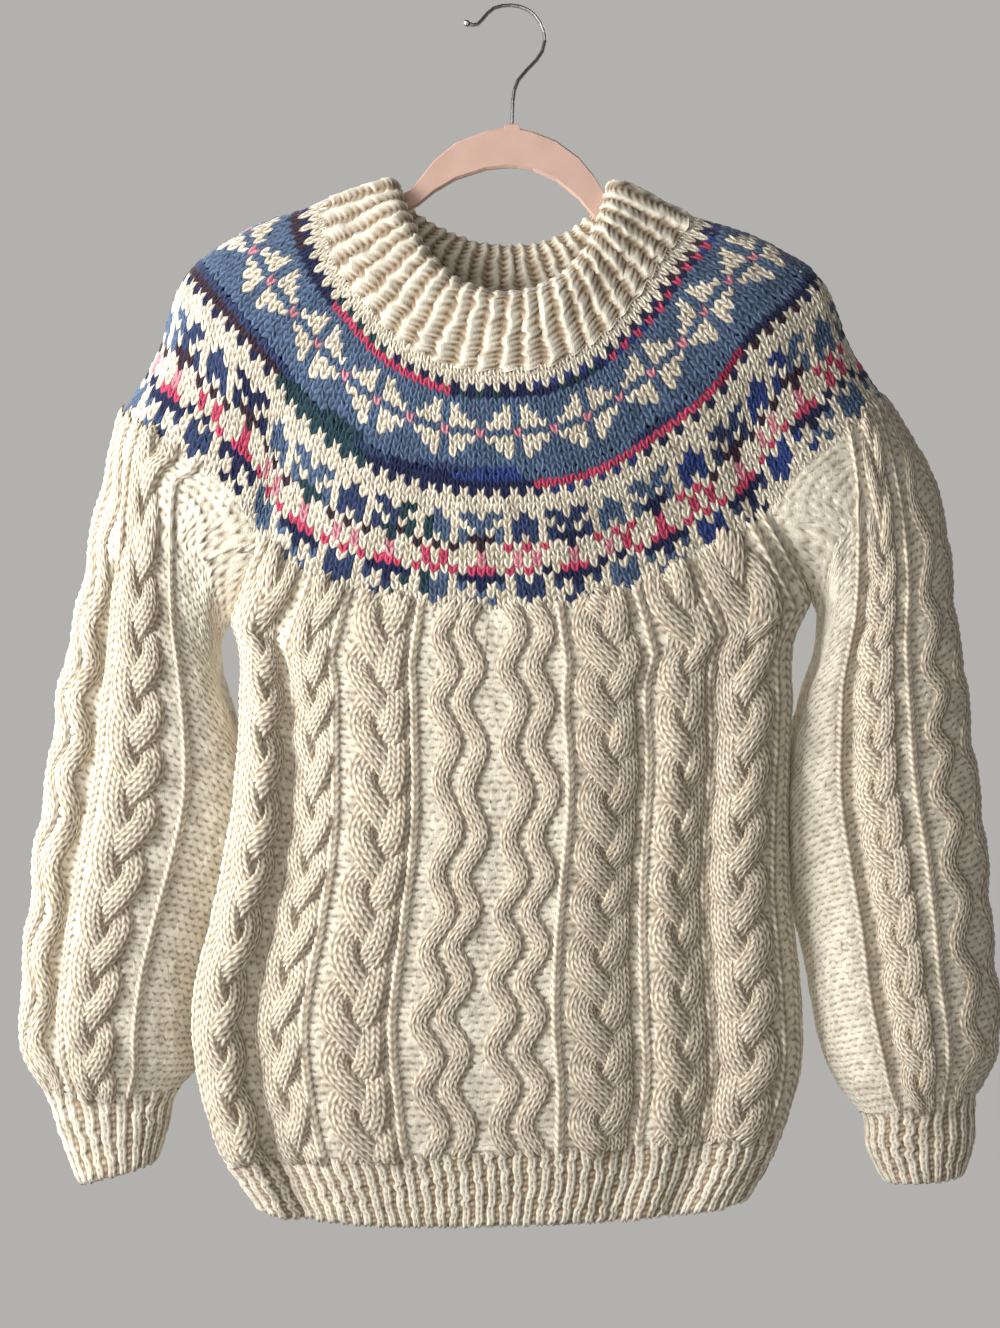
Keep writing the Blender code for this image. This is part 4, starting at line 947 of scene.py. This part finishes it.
def ribbons(fabric, ground, x, y, columns, width, lift, dome, edge, deep):
    """Knitted strands on a ground: centre lines x, y in mm, one row of them a strand.

    A strand has `columns` of stitches over `width`, stands `lift` above the ground along
    its middle and `dome` of that less at its edges, which sink `edge` into the ground. Past
    the ends of the ground it dives, to `deep` under it at most.
    """
    past = np.maximum(np.maximum(-y, y - ground.high), 0.0)
    lift = np.maximum(lift - past * DIVE, -deep)
    lines = len(STRAND[0])
    rows = (x.shape[-1] - 1) // lines
    across, up, high = spread(STRAND, columns, rows, False)
    share = across / columns
    dx, dy = np.gradient(x, axis=-1), np.gradient(y, axis=-1)
    size = np.hypot(dx, dy)
    dx, dy = (dx / size)[..., None], (dy / size)[..., None]
    offset = (share - 0.5) * width
    step = size[..., None] * (up * lines - np.arange(len(up))[:, None])
    px = x[..., None] + dy * offset + dx * step
    py = y[..., None] - dx * offset + dy * step
    points, normals = ground.at(px / ground.wide, py / ground.high)
    bow = 1.0 - np.abs(2.0 * share - 1.0) ** STRAND_BOW
    out = lift[..., None] * (1.0 - dome + dome * bow) + high * STRAND_RELIEF
    rim = np.abs(share - 0.5) > RIM
    out = np.where(rim, np.minimum(out, 0.0) - edge, out)
    points = points + normals * out[..., None]
    # Painted shade: a strand's rims are darkest and its flanks darker than its middle
    shade = np.where(rim, 0.0, high * (STRAND_GLOOM + (1.0 - STRAND_GLOOM) * bow))
    fabric.add(points, shade, False, STRAND, rows, columns)


def straight(fabric, ground, centre, columns, width, lift, swing=0.0):
    """A rib or a wavy rib that runs from the bottom of a piece to its top."""
    y = strand_points(ground, 1)
    drift = WAVE_DRIFT * np.sin(y / WAVE_DRIFT_OVER + centre)
    x = centre + swing * np.sin(2.0 * np.pi * y / WAVE_PERIOD + drift) + drift
    ribbons(fabric, ground, x, y, columns, width, lift, STRAIGHT_DOME, STRAIGHT_TUCK,
            STRAIGHT_DEEP)


def plait(fabric, ground, centre, size, skew, phase):
    """A cable of three strands, each over the others while it climbs outwards."""
    width = STRAND_SHARE * size
    swing = (size - STRAND_EDGE * width) / 2.0
    y = strand_points(ground, 3, PLAIT_LONGER)
    stray = fabric.chance.uniform(-1.0, 1.0, 3)[:, None] * PLAIT_STRAY
    slow = PLAIT_STRAY * np.sin(y / PLAIT_STRAY_OVER + centre)
    turn = 2.0 * np.pi * (y / (3.0 * CABLE_PITCH) + phase + np.arange(3)[:, None] / 3.0)
    turn = turn + stray + slow
    x = centre + swing * (np.sin(turn) + skew * (np.cos(2.0 * turn) + 1.0))
    lift = CABLE_RISE * (PLAIT_MIDDLE + (1.0 - PLAIT_MIDDLE) * np.sin(2.0 * turn))
    columns = int(round(width / STRAND_COLUMN))
    ribbons(fabric, ground, x, y, columns, width, lift, CABLE_DOME, CABLE_TUCK, CABLE_TUCK)


def cables(fabric, ground, layout, width, u_of):
    """Everything raised on a piece, from its knit layout."""
    for kind, centre, *cable in layout:
        middle = u_of(centre) * ground.wide
        if kind in CABLES:
            share, phase = cable
            plait(fabric, ground, middle, share * width, CABLES[kind], phase)
        elif kind == "rib":
            straight(fabric, ground, middle, *RIB)
        else:
            swing = WAVE_SWING if kind == "wave" else -WAVE_SWING
            straight(fabric, ground, middle, *WAVE, swing)


def painted_cable_shade(ground, layout, width, u_of):
    """Painted shade on the purl ground at a place across: its brightness, dark in the gaps of a
    cable.
    """
    spans = [
        (u_of(centre) % 1.0, cable[0] * width / 2.0)
        for kind, centre, *cable in layout if kind in CABLES
    ]

    def shade_paint(u):
        found = np.ones_like(u)
        for middle, half in spans:
            off = np.abs(u % 1.0 - middle) * ground.wide / half
            clear = ease((off - GLOOM_FROM) / GLOOM_OVER)
            found = np.minimum(found, CABLE_GLOOM + (1.0 - CABLE_GLOOM) * clear)
        return found
    return shade_paint


# ---- pieces
def knit_piece(name, node, ground, layout, width, halves, look):
    """Purl ground of a body panel or a sleeve and the cables, ribs and waves on it."""
    columns = int(round(ground.wide / PURL_WIDE))
    rows = int(round((ground.high + 2.0 * LAP) / PURL_HIGH / 2.0))
    lap = LAP / ground.high
    base, raised = Fabric(name + "_purl"), Fabric(name + "_cables")
    shade_paints = [painted_cable_shade(ground, layout, width, u_of) for u_of in halves]

    # Painted shade on the purl under the cables, fading out towards the top
    def shade_paint(u, v):
        under = np.minimum.reduce([found(u) for found in shade_paints])
        return under + (1.0 - under) * ease((v - SHADE_PAINT_TO) / (1.0 - SHADE_PAINT_TO))

    stitched(base, ground.evened, PURL, columns, rows, PURL_RELIEF, (-lap, 1.0 + lap), shade_paint=shade_paint,
             dive=DIVE)
    for u_of in halves:
        cables(raised, ground, layout, width, u_of)
    return base.make(node, look), raised.make(node, look)


def build_body(name, node, seam, profile, facing, layout, look):
    ground = body_ground(seam, profile, facing)

    def u_of(share):
        place = share if facing < 0 else 1.0 - share
        return np.interp(place, ground.places, np.linspace(0.0, 1.0, GRID))

    return knit_piece(name, node, ground, layout, BODY_WIDE, (u_of,), look)


def build_sleeve(name, folds, arcs, groove, outer_first, layout, look):
    ground = sleeve_ground(folds, arcs, groove, outer_first)

    def half(behind):
        def u_of(share):
            turn = share if outer_first else 1.0 - share
            g = 2.0 - turn if behind else turn
            return np.interp(g, ground.places, np.arange(GRID) / GRID)
        return u_of

    halves = (half(False), half(True))
    return (ground, *knit_piece(name, name, ground, layout, ground.wide / 2.0, halves, look))


def yarn_at(colour, place):
    """Colour of a dyed yarn at a place in the round: its runs follow one another."""
    runs = RUNS[colour].split()
    tones = np.array([YARNS[letter] for letter in runs[::2]])
    ends = [float(end) for end in runs[1::2]]
    return tones[np.searchsorted(ends, place, side="right")]


def chart_colours(chart, wide, columns):
    """Colour of every stitch of a round, lowest row first, with a repeat centred in front."""
    shift = int(round(YOKE_CENTRE * YOKE_FRONT * columns)) - wide // 2
    place = (np.arange(columns) + 0.5) / columns
    rows = []
    for row in chart:
        letters = np.roll(np.tile(list(row), YOKE_REPEATS), shift)
        colours = np.zeros((columns, 3))
        for letter in set(letters):
            tones = yarn_at(letter, place) if letter in RUNS else YARNS[letter]
            colours = np.where((letters == letter)[:, None], tones, colours)
        rows.append(colours)
    return np.array(rows[::-1])


def build_yoke(look):
    ground = yoke_ground()
    fabric = Fabric("yoke_colourwork")
    rows = len(LOWER_CHART) + len(UPPER_CHART) - 1.0
    split = len(LOWER_CHART) / rows
    lower_ends = (-YOKE_LAP / ground.high, split)
    upper_ends = (split - CHART_LAP, 1.0 + 1.0 / rows)
    for chart, ends in ((LOWER_CHART, lower_ends), (UPPER_CHART, upper_ends)):
        wide = len(chart[0])
        columns = wide * YOKE_REPEATS
        colours = chart_colours(chart, wide, columns)
        stitched(fabric, ground, KNIT, columns, len(chart), YOKE_RELIEF, ends, colours)
    return fabric.make("yoke", look)


def build_ribbed(name, node, ground, stitch, ribs, relief, look, foot=0.0):
    fabric = Fabric(name)
    rows = int(round(ground.high / RIB_ROW))
    stitched(fabric, ground, stitch, ribs, rows, relief, (foot, 1.0))
    return fabric.make(node, look)


# ---- materials
class Tree:
    """Nodes of a material or world, with short ways to add and join them."""

    def __init__(self, owner):
        owner.use_nodes = True
        self.nodes, self.links = owner.node_tree.nodes, owner.node_tree.links

    def node(self, kind, joins=(), **settings):
        """A node with its own settings; each of its joins has a value or another's output."""
        made = self.nodes.new("ShaderNode" + kind)
        for setting, value in settings.items():
            setattr(made, setting, value)
        for socket, value in dict(joins).items():
            if isinstance(value, bpy.types.NodeSocket):
                self.links.new(value, made.inputs[socket])
            else:
                made.inputs[socket].default_value = value
        return made

    def ramp(self, value, span, result=(0.0, 1.0), **settings):
        """A span of values brought to the result's span."""
        joins = {"Value": value, "From Min": span[0], "From Max": span[1]}
        joins.update({"To Min": result[0], "To Max": result[1]})
        return self.node("MapRange", joins, **settings).outputs["Result"]

    def blend(self, kind, factor, first, second):
        """Two colours blended; the sockets for colours have numbers, as names repeat."""
        joins = {"Factor": factor, 6: first, 7: second}
        return self.node("Mix", joins, data_type="RGBA", blend_type=kind).outputs[2]


class Look(Tree):
    """A material, with values for the sockets of its shader."""

    def __init__(self, name, **sockets):
        self.material = bpy.data.materials.new(name)
        super().__init__(self.material)
        self.shader = self.nodes["Principled BSDF"]
        for socket, value in sockets.items():
            self.shader.inputs[socket.replace("_", " ")].default_value = value

    def noise(self, scale, detail, stretch=(1.0, 1.0, 1.0)):
        place = self.node("TexCoord").outputs["Object"]
        mapped = self.node("Mapping", {"Vector": place, "Scale": stretch}).outputs["Vector"]
        made = self.node("TexNoise", {"Vector": mapped, "Scale": scale, "Detail": detail})
        return made.outputs["Fac"]

    def finish(self, tone, height, strength, distance):
        """The material with its colour and with bumps from a height."""
        bump = self.node("Bump", {"Height": height, "Strength": strength, "Distance": distance})
        self.links.new(tone, self.shader.inputs["Base Color"])
        self.links.new(bump.outputs["Normal"], self.shader.inputs["Normal"])
        return self.material


def wool(name, streak):
    """Wool whose colour comes from each stitch's yarn, with painted shade where its "height" is
    low: down between the stitches, under cables and along strand edges.
    """
    look = Look(name, Roughness=0.92, Sheen_Weight=0.35, Sheen_Roughness=0.5,
                Specular_IOR_Level=0.25)
    height = look.node("Attribute", attribute_name="height").outputs["Fac"]
    yarn = look.node("Attribute", attribute_name="yarn").outputs["Color"]
    red = look.node("SeparateColor", {"Color": yarn}).outputs["Red"]
    # Painted shade colour: dark for the blues, brown for the cream
    shade = look.blend("MIX", look.ramp(red, PALE_YARN), DARK_SHADE, CREAM_SHADE)
    # Painted shade down between stitches, by the height attribute
    deep = look.blend("MIX", look.ramp(height, (0.0, SHADE_UP_TO)), shade, WHITE)
    patch = look.ramp(look.noise(*WOOL_PATCHES), NOISE_SPAN, PATCH_TONE)
    fibre = look.noise(*WOOL_FIBRE)
    hairs = look.ramp(fibre, FIBRE_SPAN, (1.0 - streak, 1.0 + streak))
    tone = yarn
    for layer in (deep, patch, hairs):
        tone = look.blend("MULTIPLY", 1.0, tone, layer)
    return look.finish(tone, fibre, *FIBRE_BUMP)


def velvet():
    """Flocked skin of the hanger, a little worn and blotched."""
    look = Look("pink_velvet", Roughness=0.85, Sheen_Weight=0.6, Sheen_Roughness=0.35,
                Sheen_Tint=HANGER_SHEEN, Specular_IOR_Level=0.2)
    blotch = look.ramp(look.noise(*BLOTCHES), BLOTCH_SPAN)
    flock = look.noise(*FLOCK)
    tone = look.blend("MIX", blotch, HANGER_PINK, HANGER_WORN)
    tone = look.blend("MULTIPLY", 1.0, tone, look.ramp(flock, NOISE_SPAN, FLOCK_TONE))
    return look.finish(tone, flock, *FLOCK_BUMP)


def wire():
    """Polished zinc wire with fine drawing marks."""
    look = Look("hook_wire", Metallic=1.0, Roughness=0.28)
    marks = look.noise(*WIRE_MARKS)
    tone = look.blend("MIX", look.ramp(marks, NOISE_SPAN), WIRE_DULL, WIRE_BRIGHT)
    return look.finish(tone, marks, *WIRE_BUMP)


def dress_node(node, material):
    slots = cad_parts[node].material_slots
    if not len(slots):
        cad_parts[node].data.materials.append(material)
    for slot in slots:
        slot.material = material


# ---- stage
def build_world():
    """A dim room in front of the jumper and a paler wall behind it, by direction."""
    world = bpy.data.worlds.new("studio")
    tree = Tree(world)
    toward = tree.node("TexCoord").outputs["Generated"]
    ahead = tree.node("SeparateXYZ", {"Vector": toward}).outputs["Y"]
    fade = tree.ramp(ahead, WALL_FADE, interpolation_type="SMOOTHSTEP")
    tone = tree.blend("MIX", fade, ROOM_TONE, WALL_TONE)
    tree.links.new(tone, tree.nodes["Background"].inputs["Color"])
    bpy.context.scene.world = world
    bpy.context.scene.view_settings.view_transform = "Standard"


def build_floor():
    bpy.ops.mesh.primitive_circle_add(vertices=FLOOR_CORNERS, radius=FLOOR_RADIUS,
                                      fill_type="NGON", location=(0.0, 0.0, FLOOR_LEVEL))
    floor = bpy.context.object
    floor.name = "floor"
    floor.data.materials.append(Look("pale_floor", Base_Color=FLOOR_TONE, Roughness=0.9).material)


def build_lights():
    for name, place, size, power in LIGHTS:
        light = bpy.data.lights.new(name, "AREA")
        light.energy = power
        light.size = size
        lamp = add_object(name, light)
        lamp.location = place
        aim = Vector(LIGHT_AIM) - Vector(place)
        lamp.rotation_euler = aim.to_track_quat("-Z", "Y").to_euler()


def build_camera():
    """A level camera that looks along y."""
    lens = bpy.data.cameras.new("camera")
    lens.lens = CAMERA_LENS
    camera = add_object("camera", lens)
    camera.location = CAMERA_PLACE
    camera.rotation_euler = (np.pi / 2.0, 0.0, 0.0)
    bpy.context.scene.camera = camera


def build_scene():
    cream = wool("cream_wool", CREAM_STREAK)
    blues = wool("yoke_wool", YOKE_STREAK)
    panels = (
        build_body("front", "front_panel", FRONT_SEAM, FRONT_PROFILE, -1, FRONT_KNIT, cream),
        build_body("back", "back_panel", BACK_SEAM, BACK_PROFILE, 1, BACK_KNIT, cream),
    )
    sleeves = (
        build_sleeve("left_sleeve", (LEFT_SLEEVE_OUTER, LEFT_SLEEVE_INNER),
                     (LEFT_ARC_FRONT, LEFT_ARC_BACK), LEFT_GROOVE, True, LEFT_SLEEVE_KNIT, cream),
        build_sleeve("right_sleeve", (RIGHT_SLEEVE_OUTER, RIGHT_SLEEVE_INNER),
                     (RIGHT_ARC_FRONT, RIGHT_ARC_BACK), RIGHT_GROOVE, False, RIGHT_SLEEVE_KNIT,
                     cream),
    )
    yoke = build_yoke(blues)
    band = build_ribbed("neckband_ribbing", "neckband", band_ground(), BAND_RIB, BAND_RIBS,
                        BAND_RELIEF, cream, BAND_FOOT)
    hem = build_ribbed("hem_ribbing", "hem_rib", hem_ground(), HEM_RIB, HEM_RIBS, HEM_RELIEF, cream)
    cuffs = [
        build_ribbed(side + "_cuff_ribbing", side + "_cuff", cuff_ground(ground.surface),
                     HEM_RIB, CUFF_RIBS, HEM_RELIEF, cream)
        for side, (ground, *_) in zip(("left", "right"), sleeves)
    ]
    sheets = [(purl, [raised], BODY_FLAT) for purl, raised in panels]
    sheets += [(purl, [raised], SLEEVE_FLAT) for _, purl, raised in sleeves]
    sheets += [(yoke, [], YOKE_FLAT), (band, [], BAND_FLAT), (hem, [], HEM_FLAT)]
    sheets += [(cuff, [], CUFF_FLAT) for cuff in cuffs]
    for piece, along_with, flat in sheets:
        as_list(along_with)
    dress_node("hanger", velvet())
    dress_node("hanger_hook", wire())
    build_world()
    build_floor()
    build_lights()
    build_camera()


build_scene()
